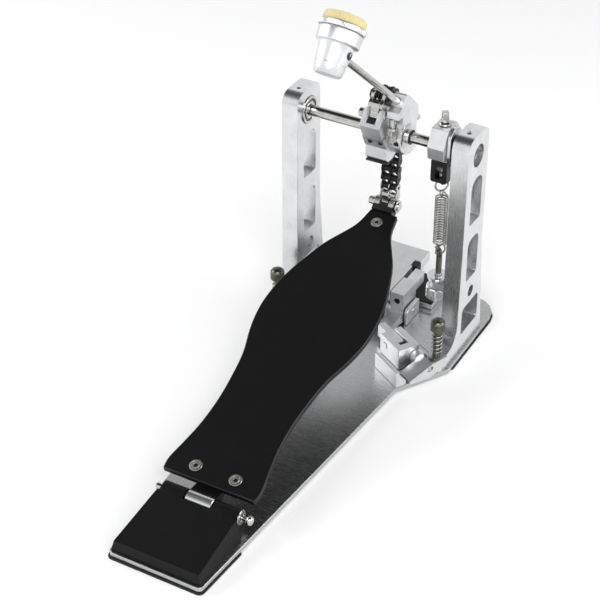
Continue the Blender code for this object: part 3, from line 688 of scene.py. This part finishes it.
SQUARE_FLAT = 5.6
hub_bolt_profile = [(0, 0), (0, 2.3), (7.2, 2.3), (7.2, 3.6), (7.7, 4.4), (10.2, 4.4), (11, 3.7), (11, 0)]
hub_bolt = turned(
    "hub_bolt", hub_bolt_profile, (15.6, -15.6, 230.7), DOWN, "axle", PLATED
)
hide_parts("rod_clamp_bolt")
square_head("hub_bolt_head", (15.6, -15.6, 219.9), DOWN, SQUARE_FLAT, 10.6, "axle", PLATED, 0.5)
barrel = [
    (0, 5.3), (0, 11.2), (0.8, 12.4), (2, 13), (8.6, 13), (10.9, 12.2), (12.2, 10.2), (12.6, 8.2),
    (12.6, 5.3), (0, 5.3),
]
turned("hub_barrel", barrel, (10.6, 0, SHAFT.z), RIGHT, "axle", PLATED, 64, 50)
# A black rubber band, curved along the underside of the cam.
under_cam_band_outline = [
    (-14.2, 183.1), (-11.9, 183.6), (-2, 183.1), (6, 186.6), (4.5, 184), (-2, 180.4), (-11.6, 180.8),
    (-14.4, 182),
]
plate("black_band_under_cam", under_cam_band_outline, "X", -10.3, 10.3, "axle", RUBBER, 0.5)
hollow("hub_seam_ring", 5.3, 6.9, 1.0, (26.6, 0, SHAFT.z), RIGHT, "axle", BLACK_STEEL)
hollow("hub_sleeve", 5.25, 6.4, 3.6, (23, 0, SHAFT.z), RIGHT, "axle", MILLED)
# A thin black ring round the rod where it enters the hub: painted shadow of the gap round the rod, not a
# part of the pedal.
hollow("rod_gap_shadow_ring", 3.2, 4.7, 0.9, ROD_POINT - ROD_UP * 0.6, ROD_UP, "axle", BLACK_STEEL, 0.2)
print("cam, clevis and hub")

# %% [markdown]
# ## The chain
# A double roller chain: pins cross three rows of plates, and rollers run between the rows. Inner
# and outer plates take turns. Every link is built between two pin centres and rides on the packed
# piece that holds that stretch, so the chain unrolls from the cam as the pedal goes down.

# %% Chain centres
CAM = Vector((-9, SHAFT.z + 6))
CHAIN_R = 30.0
TOE = Vector((15.5, 121.7))
LINK_TURN = 17.0


def on_chain(angle):
    return Vector((CAM.x + CHAIN_R * cos(radians(angle)), CAM.y + CHAIN_R * sin(radians(angle))))


away = TOE - CAM
RUN_ANGLE = degrees(atan2(away.y, away.x) + acos(CHAIN_R / away.length))
print("the chain leaves the cam at", round(RUN_ANGLE, 2), "degrees")


# %% Chain links
def link_plate(name, one, two, low, high, body, finish, waist=3.0, end=4.1):
    """A figure-of-eight plate between two pins."""
    ahead = (two - one).normalized()
    heading = degrees(atan2(ahead.y, ahead.x))
    outline = ring_points(two.x, two.y, end, heading - 125, heading + 125, 14)
    middle = (one + two) / 2
    across_link = Vector((-ahead.y, ahead.x))
    outline.append(tuple(middle + across_link * waist))
    outline += ring_points(one.x, one.y, end, heading + 55, heading + 305, 14)
    outline.append(tuple(middle - across_link * waist))
    return plate(name, outline, "X", low, high, body, finish, 0.2)


def chain_joint(name, at, body, finish, rollers=True, reach=8.9):
    """A pin with its two rollers."""
    pin = [(0, 0), (0, 1.2), (0.4, 1.6), (2 * reach - 0.4, 1.6), (2 * reach, 1.2), (2 * reach, 0)]
    turned(f"{name}_pin", pin, (-reach, at.x, at.y), RIGHT, body, finish, 16)
    if rollers:
        for side, low in (("left", -6.0), ("right", 1.7)):
            start = (low, at.x, at.y)
            roller = f"{name}_roller_{side}"
            hollow(roller, 1.7, 3.15, 4.3, start, RIGHT, body, finish, 0.3, 24)


OUTER_PLATES = ((7.4, 8.5), (-0.6, 0.6), (-8.5, -7.4))
INNER_PLATES = ((6.2, 7.2), (0.8, 1.5), (-1.5, -0.8), (-7.2, -6.2))


def link(name, one, two, body, outer, finish=BLACK_STEEL):
    """The rows of plates between two pins: three in an outer link and four in an inner one."""
    for number, (low, high) in enumerate(OUTER_PLATES if outer else INNER_PLATES):
        link_plate(f"{name}_plate_{number}", one, two, low, high, body, finish)


wrap = [on_chain(RUN_ANGLE + 3 * LINK_TURN)]
wrap += [Vector(pin) for pin in ((6.5, 243.5), (-0.7, 248.7), (-9.2, 247.0), (-15.0, 240.4))]
for k in range(3):
    link(f"wrap_link_{k}", wrap[k + 1], wrap[k], "axle", k % 2 == 0)
for k in range(4):
    chain_joint(f"wrap_joint_{k}", wrap[k], "axle", BLACK_STEEL)
for number, (low, high) in enumerate(((-6.9, -3.9), (3.9, 6.9))):
    link_plate(f"end_link_{number}", wrap[3], wrap[4], low, high, "axle", PLATED, 3.6)
end_pin = [(0, 0), (0, 1.5), (0.4, 1.8), (14.8, 1.8), (15.2, 1.5), (15.2, 0)]
turned("end_link_pin", end_pin, (-7.6, *wrap[4]), RIGHT, "axle", PLATED, 20)
tongue_block = link_plate("clevis_link_0", wrap[4], CLEVIS_PIN, -3.7, 3.7, "axle", PLATED, 4.0, 4.3)
for k, body in enumerate(("link_one", "link_two", "link_three")):
    top, bottom = on_chain(RUN_ANGLE + LINK_TURN * (3 - k)), on_chain(RUN_ANGLE + LINK_TURN * (2 - k))
    link(f"unrolling_link_{k}", top, bottom, body, k % 2 == 1)
    chain_joint(f"unrolling_joint_{k}", bottom, body, BLACK_STEEL)
print("chain over the cam")

# %% [markdown]
# The straight strand hangs from the last of those pins down to the toe. Its lowest link is nickel
# plated, with a short bright tongue that takes the toe bolt.

# %% Chain strand
strand_top = on_chain(RUN_ANGLE)
strand_way = (TOE - strand_top).normalized()
STRAND_LINKS = 9
strand_length = (TOE - strand_top).length - 10.5
pitch = strand_length / STRAND_LINKS
for k in range(STRAND_LINKS):
    one = strand_top + strand_way * pitch * k
    two = strand_top + strand_way * pitch * (k + 1)
    bright = k == STRAND_LINKS - 1
    link(f"strand_link_{k}", one, two, "chain_strand", k % 2 == 0, PLATED if bright else BLACK_STEEL)
    if k < STRAND_LINKS - 1:
        chain_joint(f"strand_joint_{k}", two, "chain_strand", BLACK_STEEL)
strand_end = strand_top + strand_way * strand_length
chain_joint("strand_end_joint", strand_end, "chain_strand", PLATED)
tongue = link_plate("toe_tongue", strand_end, TOE, -6.3, 0.3, "chain_strand", PLATED, 3.6, 4.3)
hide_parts("chain_run")
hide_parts("cam_chain")
for k in range(3):
    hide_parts(f"chain_link_{k + 1}")
print("strand pitch", round(pitch, 2), "mm")

# %% [markdown]
# ## Toe bracket
# A blackened bracket under the toe carries the cross bolt. The bolt's spacers and its thick washer
# are bright.

# %% Toe bracket and bolt
eased("toe_bracket", BLACK_STEEL, 0.4)
toe_profile = [
    (0, 0), (0, 3.0), (0.6, 3.7), (6.2, 4.2), (6.2, 2.5), (28, 2.5), (28, 4.0), (30.6, 4.2), (31, 3.6),
    (31, 0),
]
toe_bolt = turned(
    "toe_bolt_turned", toe_profile, (-20, TOE.x, TOE.y), RIGHT, "pedal_board", PLATED
)
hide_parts("toe_bolt")
hollow("toe_washer", 2.7, 6.4, 1.3, (8.2, TOE.x, TOE.y), RIGHT, "pedal_board", PLATED)
for name, width, low in (("toe_spacer", 5.6, -13.2), ("toe_spacer_right", 5.2, 1.4)):
    start = (low, TOE.x, TOE.y)
    hollow(name, 2.7, 6.3, width, start, RIGHT, "pedal_board", SATIN_STEEL, 0.4)
print("toe bolt")

# %% [markdown]
# ## Beater
# A steel rod, a turned aluminium head whose body flares towards its face, a knurled ring that holds
# the face, and the felt. A set screw in the side of the head pinches the rod.

# %% Beater
HEAD_AXIS = Vector((0, 0.652, 0.758)).normalized()
HEAD_ABOVE_HUB = 152.5
ROD_TAIL = 57
ROD_IN_HEAD = 4
HEAD_CENTRE = ROD_POINT + ROD_UP * HEAD_ABOVE_HUB
tail = HEAD_CENTRE - HEAD_AXIS * 19
rod_length = ROD_TAIL + HEAD_ABOVE_HUB + ROD_IN_HEAD
rod_profile = [(0, 0), (0, 2.4), (0.7, 3.1), (rod_length - 0.7, 3.1), (rod_length, 2.4), (rod_length, 0)]
beater_rod = turned(
    "beater_rod_ground", rod_profile, ROD_POINT - ROD_UP * ROD_TAIL, ROD_UP, "beater", PLATED,
)
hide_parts("beater_rod")
head_profile = [
    (0.5, 0), (0.5, 8.2), (0, 8.8), (0, 10.2), (0.9, 11.2), (2.2, 11.9), (8, 12.6), (8.3, 12.2),
    (8.9, 12.2), (9.2, 12.75), (16, 13.6), (22.5, 14.3), (24, 14.8), (24.6, 15.6), (25, 17), (25.7, 17.8),
    (34.6, 18.3), (35.4, 18), (36, 17.4), (36, 0),
]
head = turned(
    "beater_head_turned", head_profile, tail, HEAD_AXIS, "beater", BLASTED, 72, 28
)
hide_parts("beater_body")
print("beater body", round(rod_length, 1), "mm of rod")

# %% [markdown]
# Knurling gives fingers a hold. It is cut by letting the radius rise and fall along two crossing
# spirals, or straight along the piece as on this ring.


# %% Knurled ring
def knurled(
    name, radius, inner, width, teeth, depth, start, direction, body, finish, crossed=True
):
    """A ring whose rim is knurled, with a plain chamfer at each end."""
    axis = Vector(direction).normalized()
    side, other = across(axis)
    steps = teeth * 4
    rows_along = max(4, int(width / 0.5)) if crossed else 2
    bm = bmesh.new()

    def row(along, at_radius, cut):
        made = []
        for i in range(steps):
            a = 2 * pi * i / steps
            twist = along / radius if crossed else 0
            one = abs(((a + twist) * teeth / (2 * pi)) % 1 - 0.5) * 2
            two = abs(((a - twist) * teeth / (2 * pi)) % 1 - 0.5) * 2
            r = at_radius - cut * max(one, two)
            made.append(bm.verts.new(Vector(start) + axis * along + (side * cos(a) + other * sin(a)) * r))
        return made

    chamfer = min(0.8, width / 5)
    rows = [row(0, inner, 0), row(0, radius - chamfer, 0)]
    for k in range(rows_along + 1):
        rows.append(row(chamfer + (width - 2 * chamfer) * k / rows_along, radius, depth))
    rows += [row(width, radius - chamfer, 0), row(width, inner, 0)]
    rows.append(rows[0])
    for one, two in zip(rows, rows[1:]):
        for i in range(steps):
            j = (i + 1) % steps
            bm.faces.new((one[i], one[j], two[j], two[i]))
    return finish_piece(name, mesh_from(bm, name), body, finish, 25)


knurl = knurled(
    "beater_ring_knurled", 19.6, 8, 4.4, 90, 0.35, tail + HEAD_AXIS * 36.2, HEAD_AXIS, "beater", MILLED,
    False
)
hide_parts("beater_ring")
print("knurled ring")

# %% Felt face
felt_profile = [
    (0, 0), (0, 16.6), (0.6, 17.3), (2, 17.8), (4.6, 17.9), (6.2, 17.5), (7.4, 16.4), (8, 14.4), (8.3, 8),
    (8.4, 0),
]
felt_at = tail + HEAD_AXIS * 40.7
felt = turned("felt_face", felt_profile, felt_at, HEAD_AXIS, "beater", FELT, 96)
fluff = felt.modifiers.new("soft edge", "SUBSURF")
fluff.levels = 1
fluff.render_levels = 2
rough_texture = bpy.data.textures.new("felt_unevenness", "CLOUDS")
rough_texture.noise_scale = 1.2 * MM
uneven = felt.modifiers.new("uneven felt", "DISPLACE")
uneven.texture = rough_texture
uneven.strength = 0.6 * MM
uneven.mid_level = 0.5
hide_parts("beater_face")
print("felt face")

# %% Set screw and gland
boss = [(0, 0), (0, 4.6), (1.2, 4.6), (1.8, 4.2), (1.8, 0)]
boss_at = HEAD_CENTRE + Vector((11.8, 0, 0))
turned("set_screw_boss", boss, boss_at, RIGHT, "beater", DARK_STEEL)
screw_at = HEAD_CENTRE + Vector((14.0, 0, 0))
screw = socket_screw("beater_set_screw", screw_at, RIGHT, 3.5, 1.5, "beater", BLACK_STEEL)
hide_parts("beater_screw")
gland_at = HEAD_CENTRE - ROD_UP * 13.6
hollow("rod_gland", 3.2, 4.6, 1.6, gland_at, ROD_UP, "beater", DARK_STEEL)
print("beater head at", [round(v, 1) for v in HEAD_CENTRE])

# %% [markdown]
# ## Spring side
# The collar turns with the shaft and pulls the yoke, the hook and the spring. The spring's coil is a
# close-wound helix. Its top rides on the hook and its foot on the eyebolt.

# %% Collar and yoke
eased("spring_collar", BLASTED, 0.6, 2)
SPRING_X = 58.0
YOKE_Z = 190
YOKE_FOOT = 175
YOKE_LEFT, YOKE_RIGHT = 50.3, 65.7
SLOT_LEFT, SLOT_RIGHT = 54.4, 61.4
frame_outline = [
    (YOKE_LEFT, YOKE_Z + 6), (YOKE_LEFT, YOKE_FOOT + 1.5), (51.5, YOKE_FOOT), (64.5, YOKE_FOOT),
    (YOKE_RIGHT, YOKE_FOOT + 1.5), (YOKE_RIGHT, YOKE_Z + 6),
]
window = [
    (SLOT_RIGHT, YOKE_Z + 1), (SLOT_LEFT, YOKE_Z + 1), (SLOT_LEFT, YOKE_FOOT + 3.4),
    (SLOT_RIGHT, YOKE_FOOT + 3.4),
]


def framed_plate(name, outer, inner, low, high, body, finish):
    """A plate across y with a window. Its two flat faces are filled between the outlines."""
    bm = bmesh.new()
    rows = []
    for outline in (outer, inner):
        rows.append([[bm.verts.new((x, y, z)) for x, z in outline] for y in (low, high)])
    for near, far in rows:
        count = len(near)
        for i in range(count):
            j = (i + 1) % count
            bm.faces.new((near[i], near[j], far[j], far[i]))
    for layer in (0, 1):
        loops = [edge for ring_verts in (rows[0][layer], rows[1][layer]) for edge in rim(bm, ring_verts)]
        bmesh.ops.triangle_fill(bm, use_beauty=True, edges=loops)
    return finish_piece(name, mesh_from(bm, name), body, finish)


def rim(bm, ring_verts):
    return [bm.edges.get((ring_verts[i - 1], ring_verts[i])) for i in range(len(ring_verts))]


yoke_front = framed_plate(
    "yoke_front", frame_outline, window, -8.2, -5.9, "yoke", BLACK_STEEL
)
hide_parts("spring_yoke")
cheek_outline = [(-6.1, YOKE_FOOT + 0.3), (5.4, YOKE_FOOT + 2)]
cheek_outline += ring_points(0, YOKE_Z, 6.4, 0, 150, 12) + [(-6.1, YOKE_Z + 5.6)]
for low, high in ((YOKE_LEFT, SLOT_LEFT), (SLOT_RIGHT, YOKE_RIGHT)):
    plate(f"yoke_cheek_{low:.0f}", cheek_outline, "X", low, high, "yoke", BLACK_STEEL, 0.4)
floor_outline = [(YOKE_LEFT, -6), (YOKE_RIGHT, -6), (YOKE_RIGHT, 5), (YOKE_LEFT, 5)]
plate("yoke_floor", floor_outline, "Z", YOKE_FOOT, YOKE_FOOT + 2.2, "yoke", BLACK_STEEL, 0.3)
nut_profile = [(0, 0), (0, 2.8), (0.5, 3.4), (5.2, 3.4), (5.9, 2.6), (5.9, 0)]
nut_at = (SPRING_X, -1.5, YOKE_FOOT + 2.3)
turned("hook_nut", nut_profile, nut_at, UP, "yoke", PLATED, 24)
print("collar and yoke")

# %% [markdown]
# The yoke and the spring meet in two rings of bent wire. A wire is a circle carried along a path.
# Rings that link always cross, so each one stands at 45 degrees to the shaft and the two are a
# quarter turn apart.


# %% Bent wire
def wire(name, points, radius, body, finish, sides=10, closed=False, ride=True):
    """A round wire through points, with flat ends. Its frame doesn't twist."""
    points = [Vector(p) for p in points]
    count = len(points)
    bm = bmesh.new()
    rows = []
    normal = None
    for i, point in enumerate(points):
        before = points[i - 1] if closed or i else points[0]
        after = points[(i + 1) % count] if closed or i < count - 1 else points[-1]
        ahead = (after - before).normalized()
        if normal is None:
            normal = ahead.orthogonal()
        normal = (normal - ahead * normal.dot(ahead)).normalized()
        other = ahead.cross(normal)
        rows.append([
            bm.verts.new(point + (normal * cos(a) + other * sin(a)) * radius)
            for a in [2 * pi * k / sides for k in range(sides)]
        ])
    for one, two in zip(rows, rows[1:] + ([rows[0]] if closed else [])):
        for k in range(sides):
            m = (k + 1) % sides
            bm.faces.new((one[k], one[m], two[m], two[k]))
    if not closed:
        bm.faces.new(rows[0])
        bm.faces.new(rows[-1])
    mesh = mesh_from(bm, name)
    if ride:
        return finish_piece(name, mesh, body, finish, 60)
    mesh.materials.append(finish)
    mesh.shade_smooth()
    piece = bpy.data.objects.new(name, mesh)
    bpy.context.scene.collection.objects.link(piece)
    return piece


# %% Linked rings
def slanted(y, z, radius, angle):
    """A point of an upright loop that stands at 45 degrees to the shaft."""
    reach = radius * cos(angle) / 2**0.5
    return SPRING_X + reach, y + reach, z + radius * sin(angle)


def slanted_back(y, z, radius, angle):
    """The same loop turned a quarter, so that it links with the first."""
    reach = radius * cos(angle) / 2**0.5
    return SPRING_X + reach, y - reach, z + radius * sin(angle)


yoke_loop = [slanted_back(0, 173.6, 3.3, 2 * pi * i / 32) for i in range(32)]
wire("yoke_loop", yoke_loop, 1.15, "yoke", BLACK_STEEL, 12, True)
hook_ring = [slanted(0, 168.6, 5.9, 2 * pi * i / 48) for i in range(48)]
hook = wire("spring_hook_wire", hook_ring, 0.9, "coil_top", SPRING_STEEL, 14, True)
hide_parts("spring_hook")
print("two linked rings")

# %% Collar bolt and pin ends
flange = [(0, 0), (0, 4.6), (0.6, 5.5), (2, 5.6), (2.8, 4.8), (3.3, 2.9), (3.3, 0)]
flange_at = (SPRING_X, 0, SHAFT.z + 21.9)
collar_flange = turned("collar_bolt_flange", flange, flange_at, UP, "axle", PLATED)
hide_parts("collar_bolt")
head_at = (SPRING_X, 0, SHAFT.z + 25)
square_head("collar_bolt_head", head_at, UP, SQUARE_FLAT, 9, "axle", PLATED, pi / 5)
hollow("collar_friction_ring", 5.3, 13.5, 1.3, (70, 0, SHAFT.z), RIGHT, "axle", BLACK_STEEL)
pin_end = [(0, 0), (0, 2.7), (0.5, 2.7), (0.8, 2.2), (0.8, 0)]
for sign, start in ((-1, 49.9), (1, 66.1)):
    pin_at = (start - 0.3 * sign, 0, YOKE_Z)
    turned(
        f"yoke_pin_end_{start:.0f}", pin_end, pin_at, (sign, 0, 0), "yoke", PLATED, 24
    )
print("collar bolt and pin ends")


# %% [markdown]
# A coil spring is the same wire along a helix. Its foot loops round the eyebolt and its small crown
# hangs on the hook's ring.


# %% Spring
def helix(x, y, low, high, radius, turns, per_turn=20):
    """Points up a coil that stands on z = low."""
    total = int(turns * per_turn)
    points = []
    for i in range(total + 1):
        a = 2 * pi * i / per_turn
        points.append((x + radius * cos(a), y + radius * sin(a), low + (high - low) * i / total))
    return points


def make_spring():
    """A foot loop round the eyebolt, the coil, and a small crown that hangs on the hook's ring."""
    foot = [slanted(3, 98.6, 5.2, radians(angle)) for angle in range(150, -136, -15)]
    coil = helix(SPRING_X, 2.0, 106.0, 155.5, 5.6, 19, 24)
    foot += [slanted(3, 103.4, 4.2, radians(-140)), slanted(3, 105.2, 4.9, 0)]
    crown = [(SPRING_X + 4.9, 3.4, 157.0), (SPRING_X + 3.2, 3.6, 158.2)]
    crown += [slanted_back(0, 161.2, 3.6, radians(angle)) for angle in range(60, -181, -20)]
    return wire("spring_coil", foot + coil + crown, 0.78, "coil", SPRING_STEEL, 10, ride=False)


spring = make_spring()
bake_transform(spring)
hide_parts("spring")
print("spring of 19 turns")

# %% [markdown]
# The eyebolt hangs from an arm on the right post. The knurled nut below the arm sets the pull of
# the spring and the disc above locks it.

# %% Adjuster
eased("adjuster_arm", BLASTED, 0.5, 2)
eye_loop = [slanted_back(3, 95.4, 3.4, 2 * pi * i / 32) for i in range(32)]
eye_ring = wire("eyebolt_eye", eye_loop, 1.5, "frame", DARK_STEEL, 12, True)
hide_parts("spring_eyebolt")
print("eyebolt's eye")

# %% [markdown]
# A screw's thread is a helix too, this time of a low ridge with a flat top, wound round the core.


# %% Threads and nuts
def threaded(name, x, y, low, high, radius, pitch, body, finish):
    """A screw thread: one low ridge wound round a core, in the shape of a lathe-cut profile."""
    steps = 20
    turns = (high - low) / pitch
    bm = bmesh.new()
    rows = []
    for i in range(int(turns * steps) + 1):
        a = 2 * pi * i / steps
        z = low + pitch * i / steps
        shape = ((radius - 0.35, 0), (radius, pitch * 0.4), (radius, pitch * 0.6), (radius - 0.35, pitch))
        rows.append([bm.verts.new((x + r * cos(a), y + r * sin(a), z + up)) for r, up in shape])
    for one, two in zip(rows, rows[1:]):
        for k in range(3):
            bm.faces.new((one[k], one[k + 1], two[k + 1], two[k]))
        bm.faces.new((one[3], one[0], two[0], two[3]))
    bm.faces.new(rows[0])
    bm.faces.new(rows[-1])
    return finish_piece(name, mesh_from(bm, name), body, finish, 50)


def on_eyebolt(z):
    """A point of the eyebolt's middle line."""
    return SPRING_X, 3, z


shank = [(0, 0), (0, 2.1), (49, 2.1), (50.2, 2.6), (50.2, 0)]
turned("eyebolt_shank", shank, on_eyebolt(42), UP, "frame", DARK_STEEL, 24)
threaded("eyebolt_thread", SPRING_X, 3, 42.5, 91, 2.8, 1.1, "frame", DARK_STEEL)
knob = knurled(
    "tension_nut_knurled", 10.6, 3.1, 12.5, 56, 0.4, on_eyebolt(47), UP, "tension_nut", MILLED,
    False
)
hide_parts("spring_adjust_nut")
hollow("tension_nut_collar", 3.1, 6, 1.6, on_eyebolt(45.6), UP, "tension_nut", MILLED)
disc = hollow(
    "lock_disc_turned", 3.1, 10, 3.6, on_eyebolt(67.3), UP, "frame", MILLED, 0.5
)
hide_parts("spring_lock_disc")
hexagon = [(SPRING_X + 3.6 * cos(a), 3 + 3.6 * sin(a)) for a in [radians(60 * i) for i in range(6)]]
plate("lock_nut", hexagon, "Z", 71.0, 73.6, "frame", MILLED, 0.3)
arm_profile = [
    (0, 0), (0, 2.4), (14, 2.4), (14, 4.4), (14.5, 4.8), (18.6, 4.8), (19, 4.4), (19, 2.2), (16.6, 2.0),
    (16.6, 0),
]
arm_bolt = turned(
    "arm_bolt_turned", arm_profile, (69, 2, 65), RIGHT, "frame", BLACK_STEEL
)
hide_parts("arm_bolt")
print("adjuster")


# %% [markdown]
# ## Spurs
# Each spur is a pointed screw with a knurled knob. A light spring under the knob keeps it from
# turning by itself.

# %% Spurs
def spur(side, sign):
    """The screw with its knob turns and travels as one, and its spring stays on the plate."""
    x, y = sign * 82.5, -47.5
    body = f"{side}_spur_screw"
    point = [(0, 0), (4, 2.7), (47, 2.7), (47, 0)]
    pointed = turned(f"{side}_spur_shank", point, (x, y, 2.4), UP, body, DARK_STEEL, 24)
    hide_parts(f"{side}_spur")
    threaded(f"{side}_spur_thread", x, y, 8, 46, 3.1, 1.0, body, DARK_STEEL)
    knurled(f"{side}_spur_knob", 6.7, 1.5, 9.4, 34, 0.35, (x, y, 49.4), UP, body, DARK_STEEL)
    cap = [(0, 0), (0, 4.4), (1.2, 5.8), (1.4, 5.8), (1.4, 0)]
    turned(f"{side}_spur_cap", cap, (x, y, 48.2), UP, body, DARK_STEEL, 32)
    dome = [(0, 0), (0, 5.9), (1.2, 5.2), (2.1, 3.4), (2.5, 0)]
    turned(f"{side}_spur_dome", dome, (x, y, 58.6), UP, body, DARK_STEEL, 32)
    coil = helix(x, y, 23.3, 47.0, 4.4, 5.5, 20)
    spring_wire = wire(f"{side}_spur_coil", coil, 0.8, "frame", SPRING_STEEL, 8)
    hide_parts(f"{side}_spur_spring")


spur("left", -1)
spur("right", 1)
print("two spurs")

# %% [markdown]
# ## Hoop clamp
# The rocker carries the jaw that presses the hoop on its rubber bed. The handle at the plate's
# slanted edge drives the fork, and the fork pushes the rocker. All of them are bead blasted.

# %% Clamp
eased("clamp_rocker", BLASTED, 1.4, 3)
for name in ("hoop_bed", "clamp_jaw", "fork_block"):
    eased(name, BLASTED, 0.7, 2)
for name in ("clamp_housing", "clamp_lever", "clamp_link"):
    eased(name, BLASTED, 0.4, 2)
cheek = [(-2.8, 6.9), (23.8, 6.9), (23.8, 21), (21, 23.4), (0, 23.4), (-2.8, 21)]
left_cheek = plate("bracket_left_cheek", cheek, "X", 7.6, 13, "frame", BLASTED, 0.6)
plate("bracket_right_cheek", cheek, "X", 28.2, 31.4, "frame", BLASTED, 0.6)
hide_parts("rocker_bracket")
bracket_pin = [(0, 0), (0, 3.4), (0.6, 3.4), (1.1, 2.9), (1.1, 0)]
turned("bracket_pin_end", bracket_pin, (31.2, 10, 16), RIGHT, "frame", PLATED, 24)
for name in ("hoop_bed_pad", "jaw_pad"):
    eased(name, RUBBER, 0.3)
eased("lever_pin", PLATED, 0.4)
bumper = [(10.5, 45.8), (17.3, 45.8), (17.3, 54.4), (10.5, 54.4)]
plate("jaw_bumper", bumper, "Z", 29.6, 39.8, "jaw_rocker", RUBBER, 1.0, 3)
socket_screw("rocker_screw", (20.5, -3.2, 31.5), (0, -1, 0), 3.2, 1.5, "jaw_rocker", BLACK_STEEL)
print("clamp")

# %% [markdown]
# ## Studio
# A pale floor, a pale room and three large soft lamps. Polished metal shows what is round it, so
# the room is darker overhead, which keeps the board black and gives the pins and the posts their
# grey bands.


# %% Floor, room and lamps
def make_floor():
    made, tree, shader = surface("studio_paper", "#f7f7f7", 0.9, 0.0)
    tree.links.new(spread(tree, grain(tree, 60), 0.86, 0.94), shader.inputs["Roughness"])
    mesh = bpy.data.meshes.new("studio_floor")
    half = 6.0
    corners = [(-half, -half, 0), (half, -half, 0), (half, half, 0), (-half, half, 0)]
    mesh.from_pydata(corners, [], [(0, 1, 2, 3)])
    mesh.materials.append(made)
    floor = bpy.data.objects.new("studio_floor", mesh)
    floor.location.z = -0.0002
    bpy.context.scene.collection.objects.link(floor)


def make_room():
    world = bpy.data.worlds.new("pale_room")
    bpy.context.scene.world = world
    world.use_nodes = True
    tree = world.node_tree
    where = node(tree, "ShaderNodeTexCoord")
    height = node(tree, "ShaderNodeSeparateXYZ", links={"Vector": where.outputs["Generated"]}).outputs["Z"]
    ramp = node(tree, "ShaderNodeValToRGB", links={"Fac": height})
    ramp.color_ramp.elements[0].position = 0.0
    ramp.color_ramp.elements[0].color = linear("#f4f4f4")
    ramp.color_ramp.elements[1].position = 0.83
    ramp.color_ramp.elements[1].color = linear("#303032")
    for position, colour in ((0.3, "#f0f0f0"), (0.62, "#ececec"), (0.74, "#7a7a7c")):
        step = ramp.color_ramp.elements.new(position)
        step.color = linear(colour)
    background = tree.nodes["Background"]
    tree.links.new(ramp.outputs["Color"], background.inputs["Color"])
    background.inputs["Strength"].default_value = 1.15


def softbox(name, location, target, size, power):
    data = bpy.data.lights.new(name, "AREA")
    data.shape = "RECTANGLE"
    data.size, data.size_y = size
    data.energy = power
    lamp = bpy.data.objects.new(name, data)
    lamp.location = location
    lamp.rotation_euler = (Vector(target) - Vector(location)).to_track_quat("-Z", "Y").to_euler()
    bpy.context.scene.collection.objects.link(lamp)


make_floor()
make_room()
softbox("front_overhead", (0.9, -1.3, 2.0), (0, 0, 0.1), (1.8, 1.2), 38)
softbox("right_bank", (2.1, 0.7, 1.1), (0, 0, 0.15), (1.0, 1.4), 20)
softbox("left_bank", (-2.0, -0.4, 1.2), (0, 0, 0.1), (1.0, 1.6), 22)
bpy.context.scene.view_settings.view_transform = "Standard"
print("studio ready")

# %% [markdown]
# ## Camera
# A long lens from the front right and above, about a metre and a half away, so that the posts stay
# nearly parallel.


# %% Camera
def make_camera():
    data = bpy.data.cameras.new("camera")
    data.sensor_width = 36
    data.lens = 100.86
    camera = bpy.data.objects.new("camera", data)
    azimuth, elevation, roll = radians(29.32), radians(35.72), radians(-0.18)
    back = Vector((sin(azimuth) * cos(elevation), -cos(azimuth) * cos(elevation), sin(elevation)))
    camera.location = place(565.16, -1158.05, 949.13)
    turned_to_pedal = (-back).to_track_quat("-Z", "Y")
    camera.rotation_euler = (turned_to_pedal @ Matrix.Rotation(roll, 3, "Z").to_quaternion()).to_euler()
    bpy.context.scene.collection.objects.link(camera)
    bpy.context.scene.camera = camera


make_camera()
print("camera ready")
